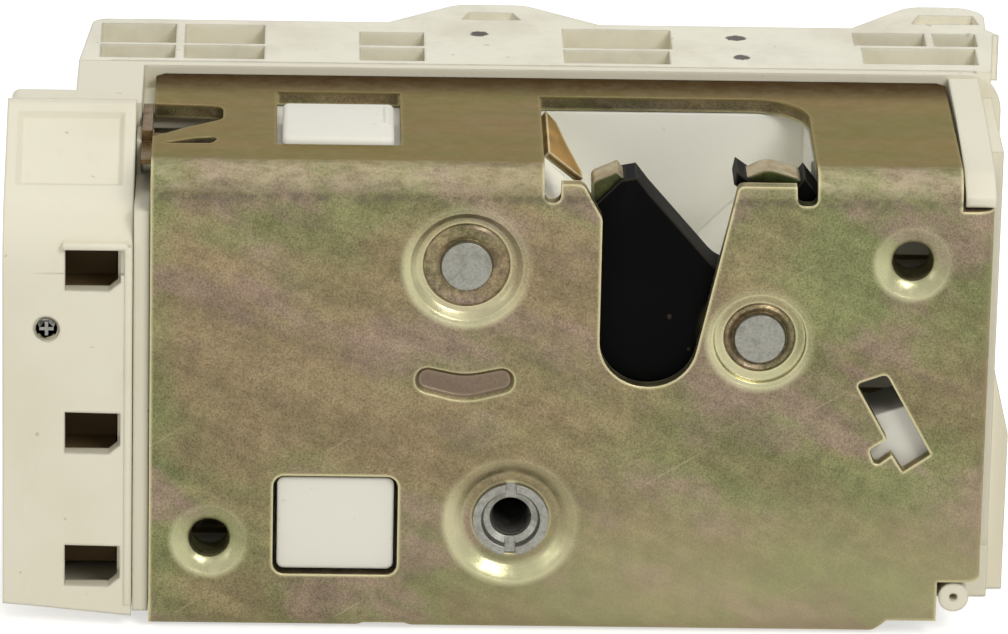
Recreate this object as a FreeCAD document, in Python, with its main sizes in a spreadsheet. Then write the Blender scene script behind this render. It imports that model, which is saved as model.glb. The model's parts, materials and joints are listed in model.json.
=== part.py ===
import FreeCAD, Part
import math
import os
import Sketcher
from FreeCAD import Placement, Rotation, Vector

# Car door lock with a fork-shaped claw, a pawl and a central-locking drive.
# Frame: millimetres, +X right and +Z up as seen on the steel front plate, +Y into the lock.
# The origin is on the axis of the centre bush, in the plane of the front plate's inner face.
# Sketches measure depth from the plate's outer face, and each body is set back by the sheet.

DRIVING_SIZES = (
    # front plate
    ("plate_left", 43.8), ("flange_right", 53.3), ("side_face", 57.3), ("plate_top", 45.0),
    ("plate_bottom", 14.5), ("plate_thick", 1.8), ("flange_deep", 34.7), ("foot_flange_deep", 8.0),
    ("side_flange_deep", 12.0), ("side_flange_top", 40.4), ("side_flange_low", 7.3),
    ("top_bend", 3.0), ("foot_bend", 2.6), ("side_bend", 2.4), ("inner_bend", 0.9),
    ("notch_left", 52.0), ("foot_step_left", 44.0), ("foot_step_right", 46.0), ("foot_step_up", 2.1),
    ("foot_arch_x", 15.2), ("foot_arch_half", 3.9), ("foot_arch_up", 0.8),
    # mouth in the flange and slot in the face
    ("mouth_left", 3.2), ("mouth_right", 35.9), ("mouth_deep", 27.8), ("mouth_round", 7.0),
    ("slot_left", 10.2), ("slot_low", 17.6), ("slot_low_right", 20.9), ("slot_top_right", 26.4),
    ("slot_round", 5.8), ("relief_wide", 2.0), ("relief_low", 40.9),
    ("lobe_left", 7.9), ("lobe_slope_low", 39.0), ("lobe_right", 33.4),
    # windows and recesses
    ("flange_window_left", 28.9), ("flange_window_right", 13.9), ("flange_window_near", 8.6),
    ("flange_window_far", 28.4), ("window_left", 28.8), ("window_right", 13.7), ("window_top", 5.6),
    ("window_low", 7.2), ("window_round", 1.4), ("kidney_deep", 0.7), ("kidney_low", 15.2),
    ("kidney_high", 3.7), ("kidney_half", 6.1), ("kidney_slope", 40.0),
    # pivots, bush and fixing holes
    ("pawl_x", 5.9), ("pawl_z", 32.6), ("claw_x", 29.5), ("claw_z", 23.8),
    ("rivet_head", 3.0), ("rivet_ring", 4.3), ("pawl_ring", 5.2), ("pawl_dish", 7.4),
    ("pawl_dish_floor", 5.7),
    ("claw_dish", 6.2), ("claw_dish_floor", 4.6), ("dish_deep", 1.0), ("pivot_shoulder", 5.0),
    ("rivet_tail", 4.0), ("claw_rivet_tail", 3.4), ("pivot_play", 0.05),
    ("bush_dish", 7.9), ("bush_dish_floor", 5.7), ("bush_outer", 4.6), ("bush_cup", 3.6),
    ("bush_slot", 1.3), ("thread_bore", 2.5), ("fix_collar", 3.7), ("fix_dish", 4.4),
    ("fix_long", 4.6), ("low_fix_x", 36.5), ("low_fix_z", 2.9), ("high_fix_x", 47.6),
    ("high_fix_z", 33.8), ("child_x", 46.0), ("child_z", 12.0),
    # depths of the layers behind the plate
    ("claw_front", 3.0), ("claw_thick", 4.0), ("skin", 0.8), ("floor_front", 10.4),
    ("floor_thick", 1.8), ("back_plate_thick", 2.0), ("layer_gap", 0.3),
    # white carrier
    ("carrier_wall", 1.8), ("carrier_gap", 0.15), ("pocket_back", 29.6), ("buffer_high", 2.4),
    # housings
    ("housing_top", 46.0), ("housing_wall", 1.9), ("housing_left", 45.8), ("housing_right", 60.4),
    ("rim_front", 34.9), ("split", 36.4), ("housing_back", 53.0), ("rear_left", 53.4),
    ("rear_right", 59.2), ("rim_round", 4.5), ("bulge_right", 61.3), ("bulge_top", 10.0),
    ("ear_thick", 6.0), ("ear_back", 60.5), ("side_left", 61.2), ("cover_front", 0.6),
    ("cover_back", 20.2), ("lobe_back", 25.0), ("cover_low", 13.0), ("cover_slope_low", 37.0),
    ("cover_wall", 1.8), ("cover_window_left", 54.0), ("cover_window_right", 47.3),
    ("cover_window_high", 5.3), ("fit_gap", 0.1),
    # levers and drive
    ("lever_thick", 2.0), ("lever_gap", 0.6), ("pin_radius", 1.8), ("spindle_radius", 3.0), ("stud_x", 34.0),
    ("stud_z", 14.0), ("lock_x", 8.0), ("lock_z", 14.0), ("key_x", 30.0), ("key_z", 24.0),
    ("key_radius", 7.5), ("motor_radius", 9.0), ("motor_half", 7.0), ("motor_long", 25.0),
    ("motor_left", 26.0), ("shaft_radius", 1.0), ("motor_y", 41.6), ("motor_z", 2.0),
    ("worm_root", 1.3), ("worm_pitch", 2.2), ("worm_long", 12.0),
    ("gear_pitch", 9.2), ("tooth_up", 0.8), ("tooth_down", 1.0), ("gear_thick", 5.0), ("gear_x", 15.0),
    ("tooth_half", 0.55),
    ("screw_left", 49.5), ("screw_right", 54.6), ("screw_high", 33.5), ("screw_low", 10.0),
    ("screw_radius", 1.4), ("screw_boss", 3.2), ("switch_high", 7.4), ("cover_screw_x", 56.2),
    ("cover_screw_z", 23.9),
)

doc = FreeCAD.newDocument("car_door_lock")
sheet = doc.addObject("Spreadsheet::Sheet", "Sizes")
for row, (alias, number) in enumerate(DRIVING_SIZES, start=1):
    sheet.set("A%d" % row, alias)
    sheet.set("B%d" % row, str(number))
    sheet.setAlias("B%d" % row, alias)
doc.recompute()


class Size:
    """A length with its number and the sheet formula that gives it."""

    def __init__(self, number, formula):
        self.number = number
        self.formula = formula

    def __add__(self, other):
        other = as_size(other)
        return Size(self.number + other.number, "(%s + %s)" % (self.formula, other.formula))

    def __sub__(self, other):
        other = as_size(other)
        return Size(self.number - other.number, "(%s - %s)" % (self.formula, other.formula))

    def __mul__(self, other):
        other = as_size(other)
        return Size(self.number * other.number, "(%s * %s)" % (self.formula, other.formula))

    def __truediv__(self, other):
        other = as_size(other)
        return Size(self.number / other.number, "(%s / %s)" % (self.formula, other.formula))

    def __radd__(self, other):
        return as_size(other) + self

    def __rsub__(self, other):
        return as_size(other) - self

    def __rmul__(self, other):
        return as_size(other) * self

    def __neg__(self):
        return Size(-self.number, "(0 - %s)" % self.formula)


def as_size(value):
    if isinstance(value, Size):
        return value
    return Size(float(value), "%.4f" % value if value >= 0 else "(0 - %.4f)" % -value)


class Sizes:
    """The sheet's driving sizes, each one under its alias."""


s = Sizes()
for alias, number in DRIVING_SIZES:
    setattr(s, alias, Size(float(number), "Sizes." + alias))

SUB_PARTS = []


def bind(target, prop, size):
    target.setExpression(prop, as_size(size).formula)


def new_body(label):
    body = doc.addObject("PartDesign::Body", label)
    body.Label = label
    bind(body, "Placement.Base.y", -s.plate_thick)
    SUB_PARTS.append(body)
    return body


def new_sketch(body, role, offset=(0, 0, 0)):
    """A sketch on one of the body's own origin planes, moved by an offset in the plane's frame."""
    plane = [item for item in body.Origin.OriginFeatures if item.Role == role][0]
    sketch = body.newObject("Sketcher::SketchObject", body.Label + "_sketch")
    sketch.AttachmentSupport = [(plane, "")]
    sketch.MapMode = "FlatFace"
    for axis, value in zip("xyz", offset):
        bind(sketch, "AttachmentOffset.Base." + axis, value)
    return sketch


class Draft:
    """Geometry and constraints gathered for one sketch, added to it in one go."""

    def __init__(self):
        self.elements = []
        self.helpers = []
        self.constraints = []
        self.formulas = []

    def element(self, geometry, helper=False):
        self.elements.append(geometry)
        self.helpers.append(helper)
        return len(self.elements) - 1

    def hold(self, *definition):
        self.constraints.append(Sketcher.Constraint(*definition))

    def dimension(self, size, *definition):
        size = as_size(size)
        self.formulas.append((len(self.constraints), size.formula))
        self.hold(*definition, size.number)

    def fix_point(self, element, point, x, y):
        self.dimension(x, "DistanceX", -1, 1, element, point)
        self.dimension(y, "DistanceY", -1, 1, element, point)

    def circle(self, x, y, radius):
        centre = Vector(as_size(x).number, as_size(y).number, 0)
        element = self.element(Part.Circle(centre, Vector(0, 0, 1), as_size(radius).number))
        self.fix_point(element, 3, x, y)
        self.dimension(radius, "Radius", element)

    def outline(self, corners):
        """A closed outline through the corners (x, y) or (x, y, rounding radius)."""
        points = [Vector(as_size(c[0]).number, as_size(c[1]).number, 0) for c in corners]
        count = len(points)
        starts, ends, rounds = [], [], []
        for i, corner in enumerate(corners):
            to_last = (points[i - 1] - points[i]).normalize()
            to_next = (points[(i + 1) % count] - points[i]).normalize()
            if len(corner) == 2:
                starts.append(points[i])
                ends.append(points[i])
                rounds.append(None)
                continue
            radius = as_size(corner[2])
            half = to_last.getAngle(to_next) / 2
            reach = radius.number / math.tan(half)
            ends.append(points[i] + to_last * reach)
            starts.append(points[i] + to_next * reach)
            middle = points[i] + (to_last + to_next).normalize() * (radius.number / math.sin(half))
            rounds.append((radius, middle + (points[i] - middle).normalize() * radius.number))
        lines = [self.element(Part.LineSegment(starts[i], ends[(i + 1) % count]))
                 for i in range(count)]
        for i, corner in enumerate(corners):
            before, after = lines[i - 1], lines[i]
            if rounds[i] is None:
                self.hold("Coincident", before, 2, after, 1)
                self.fix_point(after, 1, corner[0], corner[1])
                continue
            radius, through = rounds[i]
            clockwise = (points[i] - ends[i]).cross(starts[i] - points[i]).z < 0
            first, last = (2, 1) if clockwise else (1, 2)
            arc = self.element(Part.Arc(ends[i], through, starts[i]))
            self.hold("Tangent", before, 2, arc, first)
            self.hold("Tangent", arc, last, after, 1)
            self.dimension(radius, "Radius", arc)
            sharp = self.element(Part.Point(points[i]), True)
            self.hold("PointOnObject", sharp, 1, before)
            self.hold("PointOnObject", sharp, 1, after)
            self.fix_point(sharp, 1, corner[0], corner[1])

    def add_to(self, sketch):
        sketch.addGeometry(self.elements, False)
        for index, helper in enumerate(self.helpers):
            if helper:
                sketch.setConstruction(index, True)
        sketch.addConstraint(self.constraints)
        for index, formula in self.formulas:
            sketch.setExpression("Constraints[%d]" % index, formula)


def draw(sketch, shapes):
    """Draws outlines, and circles given as ("circle", x, y, radius)."""
    draft = Draft()
    for shape in shapes:
        if shape[0] == "circle":
            draft.circle(*shape[1:])
        else:
            draft.outline(shape)
    draft.add_to(sketch)


def sweep_sketch(body, kind, sketch, length, reverse):
    feature = body.newObject("PartDesign::" + kind, body.Label + "_" + kind.lower())
    feature.Profile = sketch
    bind(feature, "Length", length)
    feature.Reversed = reverse
    return feature


# The face plane's sketches look along +Y, so depths run away from the viewer.

def add_deep(body, front, depth, *shapes):
    sketch = new_sketch(body, "XZ_Plane", (0, 0, -as_size(front)))
    draw(sketch, shapes)
    return sweep_sketch(body, "Pad", sketch, depth, True)


def cut_deep(body, front, depth, *shapes):
    sketch = new_sketch(body, "XZ_Plane", (0, 0, -as_size(front)))
    draw(sketch, shapes)
    return sweep_sketch(body, "Pocket", sketch, depth, False)


def add_up(body, low, height, *shapes):
    sketch = new_sketch(body, "XY_Plane", (0, 0, low))
    draw(sketch, shapes)
    return sweep_sketch(body, "Pad", sketch, height, False)


def cut_down(body, top, depth, *shapes):
    sketch = new_sketch(body, "XY_Plane", (0, 0, top))
    draw(sketch, shapes)
    return sweep_sketch(body, "Pocket", sketch, depth, False)


def add_right(body, left, width, *shapes):
    sketch = new_sketch(body, "YZ_Plane", (0, 0, left))
    draw(sketch, shapes)
    return sweep_sketch(body, "Pad", sketch, width, False)


def cut_right(body, left, width, *shapes):
    sketch = new_sketch(body, "YZ_Plane", (0, 0, left))
    draw(sketch, shapes)
    return sweep_sketch(body, "Pocket", sketch, width, True)


def turn_deep(body, x, z, profile, kind="Revolution"):
    """Turns a profile of (radius, depth) corners about an axis along Y through (x, z)."""
    sketch = new_sketch(body, "XY_Plane", (x, 0, z))
    draw(sketch, [profile])
    feature = body.newObject("PartDesign::" + kind, body.Label + "_" + kind.lower())
    feature.Profile = sketch
    feature.ReferenceAxis = (sketch, ["V_Axis"])
    feature.Angle = 360
    return feature


def box(left, low, right, top, radius=None):
    """Corners of a rectangle, rounded where a radius is given."""
    corners = ((left, low), (right, low), (right, top), (left, top))
    if radius is None:
        return corners
    return tuple(corner + (radius,) for corner in corners)


plate_inner = s.plate_thick
flange_under = s.plate_top - s.plate_thick
foot_inner = s.plate_thick - s.plate_bottom
pawl_at = (-s.pawl_x, s.pawl_z)
claw_at = (s.claw_x, s.claw_z)
low_fix = (-s.low_fix_x, -s.low_fix_z)
high_fix = (s.high_fix_x, s.high_fix_z)
floor_back = s.floor_front + s.floor_thick
back_plate_front = floor_back
back_plate_back = back_plate_front + s.back_plate_thick


def dish(body, x, z, outer, floor_radius, hole, deep):
    """A round stamped recess of the sheet's own thickness, with a hole in its floor."""
    inset = s.plate_thick * 0.35
    cut_deep(body, -1.0, s.plate_thick + 2.0, ("circle", x, z, outer - 0.1))
    turn_deep(body, x, z, (
        (hole, deep), (floor_radius, deep), (floor_radius + 0.4, deep - 0.15),
        (outer - 0.6, 0.15), (outer, 0.0), (outer, s.plate_thick),
        (outer - inset, s.plate_thick), (floor_radius - inset + 0.5, s.plate_thick + deep),
        (hole, s.plate_thick + deep)))


def fixing_hole(body, x, z):
    """An extruded hole: a small dish whose drawn collar carries the thread."""
    cut_deep(body, -1.0, s.plate_thick + 2.0, ("circle", x, z, s.fix_dish - 0.1))
    turn_deep(body, x, z, (
        (s.thread_bore, 0.9), (s.thread_bore + 0.5, 0.4), (s.fix_dish, 0.0),
        (s.fix_dish, s.plate_thick), (s.fix_collar, s.plate_thick),
        (s.fix_collar, s.fix_long + 0.9), (s.thread_bore, s.fix_long + 0.9)))


def make_front_plate():
    body = new_body("front_plate")
    t = s.plate_thick
    face_low = -s.plate_bottom
    add_right(body, -s.plate_left, s.plate_left + s.flange_right, (
        (s.flange_deep, s.plate_top), (0, s.plate_top, s.top_bend), (0, face_low, s.foot_bend),
        (s.foot_flange_deep, face_low), (s.foot_flange_deep, foot_inner),
        (t, foot_inner), (t, flange_under, s.top_bend - t),
        (s.flange_deep, flange_under)))
    add_up(body, -s.side_flange_low, s.side_flange_low + s.side_flange_top, (
        (s.notch_left, 0), (s.side_face, 0, s.side_bend), (s.side_face, s.side_flange_deep),
        (s.side_face - t, s.side_flange_deep), (s.side_face - t, t), (s.notch_left, t)))
    # lower right corner notch and the step in the lower edge
    cut_deep(body, -1.0, s.foot_flange_deep + 2.0, (
        (s.foot_step_left, face_low - 1.0), (s.foot_step_left, face_low),
        (s.foot_step_right, face_low + s.foot_step_up), (s.notch_left, face_low + s.foot_step_up),
        (s.notch_left, -s.side_flange_low),
        (s.side_face + 1.0, -s.side_flange_low), (s.side_face + 1.0, face_low - 1.0)))
    cut_deep(body, -1.0, s.foot_flange_deep + 2.0, (
        (-s.foot_arch_x - s.foot_arch_half - 0.6, face_low - 0.5),
        (-s.foot_arch_x - s.foot_arch_half + 1.4, face_low + s.foot_arch_up),
        (-s.foot_arch_x + s.foot_arch_half - 1.4, face_low + s.foot_arch_up),
        (-s.foot_arch_x + s.foot_arch_half + 0.6, face_low - 0.5)))
    # mouth in the flange, slot and reliefs in the face
    cut_down(body, s.plate_top + 1.0, t + 1.0, (
        (s.mouth_left, -1.0), (s.mouth_right, -1.0), (s.mouth_right, s.mouth_deep, s.mouth_round),
        (s.mouth_left, s.mouth_deep)))
    cut_down(body, s.plate_top + 1.0, s.top_bend + 1.2,
             box(s.mouth_left, t + 0.05, s.mouth_right, s.top_bend + 2.0))
    left_relief = s.mouth_left + s.relief_wide
    right_relief = s.mouth_right - s.relief_wide - 0.4
    cut_deep(body, -1.0, s.top_bend + 3.0, (
        (s.mouth_left, s.plate_top + 2.0), (s.mouth_left, s.relief_low, s.relief_wide / 2.1),
        (left_relief, s.relief_low, s.relief_wide / 2.1), (left_relief, flange_under),
        (s.lobe_left, flange_under, 1.2), (s.slot_left, s.lobe_slope_low, 1.6),
        (s.slot_left, s.slot_low, s.slot_round), (s.slot_low_right, s.slot_low, s.slot_round),
        (s.slot_top_right, flange_under, 0.8), (s.lobe_right, flange_under),
        (right_relief, s.relief_low, 0.9), (s.mouth_right, s.relief_low, 0.9),
        (s.mouth_right, s.plate_top + 2.0)))
    # window and tapered notches in the flange
    cut_down(body, s.plate_top + 1.0, t + 2.0, box(
        -s.flange_window_left, s.flange_window_near, -s.flange_window_right,
        s.flange_window_far))
    cut_down(body, s.plate_top + 1.0, t + 2.0, (
        (-s.plate_left - 1.0, 10.8), (-s.plate_left + 0.4, 11.0), (-s.plate_left + 3.4, 13.8),
        (-s.plate_left + 8.4, 17.6, 1.6), (-s.plate_left + 8.4, 22.6, 1.8),
        (-s.plate_left - 1.0, 23.2)))
    cut_down(body, s.plate_top + 1.0, t + 2.0, (
        (-s.plate_left + 1.0, 8.4), (-s.plate_left + 7.2, 8.6, 0.8),
        (-s.plate_left + 8.2, 11.2, 0.8), (-s.plate_left + 5.0, 10.6)))
    # corners of the flange
    for left, right in ((-s.plate_left - 1.0, -s.plate_left + 2.0),
                        (s.flange_right + 1.0, s.flange_right - 2.0)):
        cut_down(body, s.plate_top + 1.0, t + 2.0, (
            (left, s.flange_deep - 2.0), (left, s.flange_deep + 1.0), (right, s.flange_deep + 1.0)))
    # square window, kidney recess and hook slot in the face
    cut_deep(body, -1.0, t + 2.0, box(
        -s.window_left, -s.window_low, -s.window_right, s.window_top, s.window_round))
    x, half = -s.pawl_x, s.kidney_half
    low, high = s.kidney_low, s.kidney_low + s.kidney_high
    kidney = cut_deep(body, 0.0, s.kidney_deep, (
        (x - half, high + 1.3, 1.6), (x - half + 0.1, low + 1.6, 1.6), (x, low, 8.0),
        (x + half - 0.1, low + 1.6, 1.6), (x + half, high + 1.3, 1.6), (x, high, 8.0)))
    bind(kidney, "TaperAngle", -s.kidney_slope)
    x, z = s.child_x, s.child_z
    cut_deep(body, -1.0, t + 2.0, (
        (x - 4.7, z + 6.3, 0.5), (x - 1.1, z + 7.6, 0.7), (x + 4.6, z - 2.7), (x + 1.3, z - 5.0),
        (x - 0.1, z - 2.8), (x - 2.1, z - 4.4, 0.6), (x - 2.9, z - 2.2, 0.6), (x - 0.8, z - 0.8)))
    dish(body, pawl_at[0], pawl_at[1], s.pawl_dish, s.pawl_dish_floor, s.pawl_ring, s.dish_deep)
    dish(body, claw_at[0], claw_at[1], s.claw_dish, s.claw_dish_floor + 0.5, s.rivet_ring, s.dish_deep)
    dish(body, 0, 0, s.bush_dish, s.bush_dish_floor, s.bush_outer, s.dish_deep * 1.2)
    fixing_hole(body, *low_fix)
    fixing_hole(body, *high_fix)


def striker_channel(grow):
    """Outline of the striker's channel behind the slot, grown outwards by a wall."""
    top = flange_under - 0.1
    return (
        (3.4 - grow, top + 2.0), (3.4 - grow, 37.5 - grow * 0.4),
        (9.6 - grow, 31.5 - grow * 0.4, 2.5), (9.6 - grow, 16.6 - grow, s.slot_round - 0.2),
        (21.2 + grow, 16.6 - grow, s.slot_round - 0.2), (23.0 + grow, 27.5 - grow * 0.2),
        (28.8 + grow * 0.6, 33.4 - grow, 3.0), (35.6 + grow, 36.0 - grow), (35.6 + grow, top + 2.0))


def make_carrier():
    body = new_body("inner_carrier")
    gap, wall = s.carrier_gap, s.carrier_wall
    left, right = -s.plate_left + 2.0, s.side_face - s.plate_thick - gap
    low, top = foot_inner + gap, flange_under - gap
    rim_front = s.plate_thick + s.dish_deep + 0.2
    add_deep(body, s.floor_front, s.floor_thick, box(left, low, right, top))
    add_deep(body, rim_front, s.floor_front - rim_front, box(left, low, right, top),
             box(left + wall, low + wall, right - wall, top - wall))
    cut_deep(body, s.floor_front, s.floor_thick + 1.0, striker_channel(wall + s.pivot_play))
    # opening of the top wall under the flange's mouth
    cut_deep(body, 0.0, s.floor_front, (
        (s.mouth_left + 0.2, top + 1.0), (s.mouth_left + 0.2, top - wall - 0.6),
        (s.mouth_right + 1.1, top - wall - 0.6), (s.mouth_right + 1.1, top + 1.0)))
    # block in the square window and shelf under the flange's window
    add_deep(body, 0.9, s.floor_front - 0.9, box(
        -s.window_left + 0.5, -s.window_low + 0.5, -s.window_right - 0.5, s.window_top - 0.5, 0.9))
    add_deep(body, s.flange_window_near - 1.5, s.flange_window_far + 3.0 - s.flange_window_near, box(
        -s.flange_window_left - 1.0, top - wall, -s.flange_window_right + 1.0, top))
    # holes for the pivots, the bush, the fixing screws and the pawl's pin
    cut_deep(body, 0.0, floor_back + 1.0, ("circle", pawl_at[0], pawl_at[1], s.rivet_tail + 0.15),
             ("circle", claw_at[0], claw_at[1], s.claw_rivet_tail + 0.15))
    cut_deep(body, 0.0, floor_back + 1.0, ("circle", 0, 0, s.bush_outer + 0.15))
    reach = s.fix_collar + 0.2
    cut_deep(body, 0.0, floor_back + 1.0, *[
        box(x - reach, z - reach, x + reach, z + reach) for x, z in (low_fix, high_fix)])
    cut_deep(body, 0.0, floor_back + 1.0, pawl_pin_slot(), slider_slot())
    # recess for the flange clip's tongue
    cut_down(body, top + 1.0, 1.7, box(left - 1.0, 7.7, left + 6.9, 12.3))
    # corner recess beside the corner clip
    cut_deep(body, 0.0, floor_back + 1.0,
             box(s.flange_right + 0.2, top - 2.7, right + 1.0, top + 1.0))
    # the notch that lets the foot of the front housing through
    cut_deep(body, 0.0, floor_back + 1.0, box(s.notch_left - 1.0, low - 1.0, right + 1.0,
                                              -s.side_flange_low + 0.5))


def make_striker_cup():
    body = new_body("striker_cup")
    wall = s.carrier_wall
    add_deep(body, s.floor_front, s.pocket_back - s.floor_front, striker_channel(wall))
    cut_down(body, s.plate_top + 10.0, 10.0 + s.plate_thick + s.carrier_gap,
             box(0, 0, s.mouth_right + 5.0, s.pocket_back + 5.0))
    cut_deep(body, s.floor_front - 1.0, s.pocket_back - wall - s.floor_front + 1.0,
             striker_channel(0.0))


def slider_slot():
    return box(s.child_x - 4.0, s.child_z + 0.6, s.child_x + 3.0, s.child_z + 8.8)


def pawl_pin_slot():
    pin_x, pin_z = pawl_pin()
    return box(pin_x - 5.2, pin_z - 2.5, pin_x + 2.3, pin_z + 2.6)


def pawl_pin():
    return (-s.pawl_x + 0.9, s.pawl_z - 10.6)


def make_back_plate():
    body = new_body("back_plate")
    left, right = -s.plate_left + 2.6, s.flange_right + 0.1
    low, top = foot_inner + 0.8, flange_under - 2.2
    add_deep(body, back_plate_front, s.back_plate_thick, box(left, low, right, top))
    cut_deep(body, 0.0, back_plate_back + 1.0, striker_channel(s.carrier_wall + 0.3))
    cut_deep(body, 0.0, back_plate_back + 1.0,
             ("circle", pawl_at[0], pawl_at[1], s.rivet_tail),
             ("circle", claw_at[0], claw_at[1], s.claw_rivet_tail), ("circle", 0, 0, s.bush_outer))
    reach = s.fix_collar + 0.2
    cut_deep(body, 0.0, back_plate_back + 1.0, *[
        box(x - reach, z - reach, x + reach, z + reach) for x, z in (low_fix, high_fix)])
    cut_deep(body, 0.0, back_plate_back + 1.0, pawl_pin_slot(), slider_slot())
    cut_deep(body, 0.0, back_plate_back + 1.0, box(
        s.notch_left - 1.4, low - 1.0, right + 1.0, -s.side_flange_low + 0.9))


def make_rivets():
    head_front = s.dish_deep - 0.7
    shoulder_front = s.plate_thick + s.dish_deep
    for label, at, ring, tail, upset, back in (
            ("claw_rivet", claw_at, s.rivet_ring, s.claw_rivet_tail, 1.0, 1.4),
            ("pawl_rivet", pawl_at, s.pawl_ring, s.rivet_tail, 1.4, 3.7)):
        body = new_body(label)
        end = back_plate_back + back
        turn_deep(body, at[0], at[1], (
            (0, head_front), (s.rivet_head, head_front), (s.rivet_head + 0.25, s.dish_deep),
            (ring - 0.4, s.dish_deep - 0.45), (ring, s.dish_deep - 0.2), (ring, shoulder_front),
            (s.pivot_shoulder, shoulder_front), (s.pivot_shoulder, s.floor_front),
            (tail, s.floor_front), (tail, end - 1.2), (tail + upset, end - 1.2), (0, end)))


def make_bush():
    body = new_body("centre_bush")
    front = s.dish_deep * 1.2 - 0.8
    turn_deep(body, 0, 0, (
        (s.thread_bore, front + 1.2), (s.bush_cup - 0.3, front + 0.8), (s.bush_cup, front),
        (s.bush_outer, front), (s.bush_outer, s.plate_thick + s.dish_deep * 1.2),
        (s.bush_outer + 1.0, s.plate_thick + s.dish_deep * 1.2 + 0.05),
        (s.bush_outer + 1.0, s.floor_front - 0.4), (s.bush_outer, s.floor_front - 0.4),
        (s.bush_outer, back_plate_back + 0.8), (s.thread_bore, back_plate_back + 0.8)))
    cut_deep(body, front - 0.5, 1.5, box(-s.bush_slot / 2, s.bush_cup - 0.8, s.bush_slot / 2,
                                         s.bush_outer + 0.5))
    cut_deep(body, front - 0.5, 1.5, box(-s.bush_slot / 2, -s.bush_outer - 0.5, s.bush_slot / 2,
                                         -s.bush_cup + 0.8))


def from_claw(x, z):
    """A point of the claw, given from its pivot."""
    return s.claw_x + x, s.claw_z + z


def claw_corner(x, z, radius=None):
    point = from_claw(x, z)
    return point if radius is None else point + (radius,)


def claw_core_outline():
    return (
        claw_corner(-20.4, 13.0), claw_corner(-20.6, 18.9, 0.9), claw_corner(-17.5, 20.3),
        claw_corner(-15.9, 18.2), claw_corner(-5.2, 5.0, 4.4), claw_corner(3.4, 7.4, 4.2),
        claw_corner(2.6, 16.0), claw_corner(-2.8, 19.3), claw_corner(0.4, 20.8, 2.6),
        claw_corner(4.3, 19.6, 1.2), claw_corner(8.0, 13.5), claw_corner(9.8, 1.5, 5.0),
        claw_corner(6.0, -8.0), claw_corner(-6.0, -10.0, 5.0), claw_corner(-19.2, -6.6, 4.0))


def claw_skin_outline():
    return (
        claw_corner(-21.3, 12.5), claw_corner(-20.7, 15.6), claw_corner(-17.2, 19.3),
        claw_corner(-15.2, 19.7), claw_corner(-13.6, 17.6), claw_corner(-4.6, 7.2, 4.2),
        claw_corner(2.2, 8.8, 3.4), claw_corner(1.4, 15.0, 2.4), claw_corner(-3.6, 19.0),
        claw_corner(-3.3, 20.6), claw_corner(-1.6, 19.4), claw_corner(3.6, 18.3),
        claw_corner(4.9, 20.0), claw_corner(9.4, 14.0, 4.0), claw_corner(11.0, 1.5, 5.5),
        claw_corner(6.8, -9.4, 5.5), claw_corner(-6.4, -11.4, 5.5), claw_corner(-20.6, -8.0, 4.5))


def make_claw():
    core = new_body("claw_core")
    add_deep(core, s.claw_front, s.claw_thick, claw_core_outline())
    cut_deep(core, 0.0, s.floor_front, ("circle", claw_at[0], claw_at[1],
                                        s.pivot_shoulder + s.pivot_play))
    skin = new_body("claw_overmould")
    add_deep(skin, s.claw_front - s.skin, s.claw_thick + 2 * s.skin, claw_skin_outline())
    cut_deep(skin, s.claw_front, s.claw_thick, claw_core_outline())
    hub = s.claw_dish + 1.2
    cut_deep(skin, 0.0, s.claw_front + 0.01, ("circle", claw_at[0], claw_at[1], hub))
    cut_deep(skin, s.claw_front + s.claw_thick - 0.01, s.skin + 1.0,
             ("circle", claw_at[0], claw_at[1], hub))


def make_pawl():
    core = new_body("pawl_core")
    px, pz = -s.pawl_x, s.pawl_z
    add_deep(core, s.claw_front, s.claw_thick, (
        (px + 6.2, pz + 1.6), (px + 5.0, pz - 10.6), (px + 7.4, pz - 18.4),
        (px + 6.4, pz - 22.0, 1.4), (px + 1.4, pz - 20.6), (px - 2.4, pz - 12.0),
        (px - 6.2, pz - 3.0, 3.0), (px - 12.6, pz - 1.0), (px - 12.6, pz + 3.0),
        (px - 5.6, pz + 6.2, 3.0), (px + 3.0, pz + 6.4, 3.0)))
    cut_deep(core, 0.0, s.floor_front, ("circle", px, pz, s.pivot_shoulder + s.pivot_play))
    pin_x, pin_z = pawl_pin()
    cut_deep(core, 0.0, s.floor_front, ("circle", pin_x, pin_z, s.pin_radius))
    bumper = new_body("pawl_bumper")
    add_deep(bumper, s.claw_front + 0.6, s.claw_thick - 1.2, (
        (px - 14.4, pz - 1.4), (px - 12.6, pz - 1.0), (px - 12.6, pz + 3.0), (px - 14.8, pz + 3.2)))
    pin = new_body("pawl_pin")
    turn_deep(pin, pin_x, pin_z, (
        (0, s.claw_front), (s.pin_radius, s.claw_front), (s.pin_radius, back_plate_back + 2.6),
        (0, back_plate_back + 2.6)))


def make_springs_and_buffer():
    coil_front = s.claw_front + s.claw_thick + s.skin + 0.25
    for label, at in (("claw_spring", claw_at), ("pawl_spring", pawl_at)):
        body = new_body(label)
        ring = s.pivot_shoulder + 0.3
        turn_deep(body, at[0], at[1], (
            (ring, coil_front), (ring + 1.2, coil_front), (ring + 1.2, coil_front + 1.9),
            (ring, coil_front + 1.9)))
    buffer = new_body("striker_buffer")
    add_deep(buffer, floor_back + 1.0, s.pocket_back - floor_back - 4.0, (
        (13.0, s.slot_low + s.buffer_high - 0.9), (13.0, s.slot_low - 0.5),
        (15.2, s.slot_low - 0.95), (16.4, s.slot_low - 0.95), (18.9, s.slot_low - 0.35),
        (18.9, s.slot_low + s.buffer_high - 0.9)))


def make_child_lock():
    body = new_body("child_lock_slider")
    x, z = s.child_x, s.child_z
    add_deep(body, s.plate_thick + 0.4, s.floor_front - s.plate_thick - 0.7, (
        (x - 3.8, z + 0.9), (x + 3.4, z + 3.4), (x + 5.8, z - 3.4), (x + 1.6, z - 7.4),
        (x - 3.8, z - 6.6)))


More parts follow.
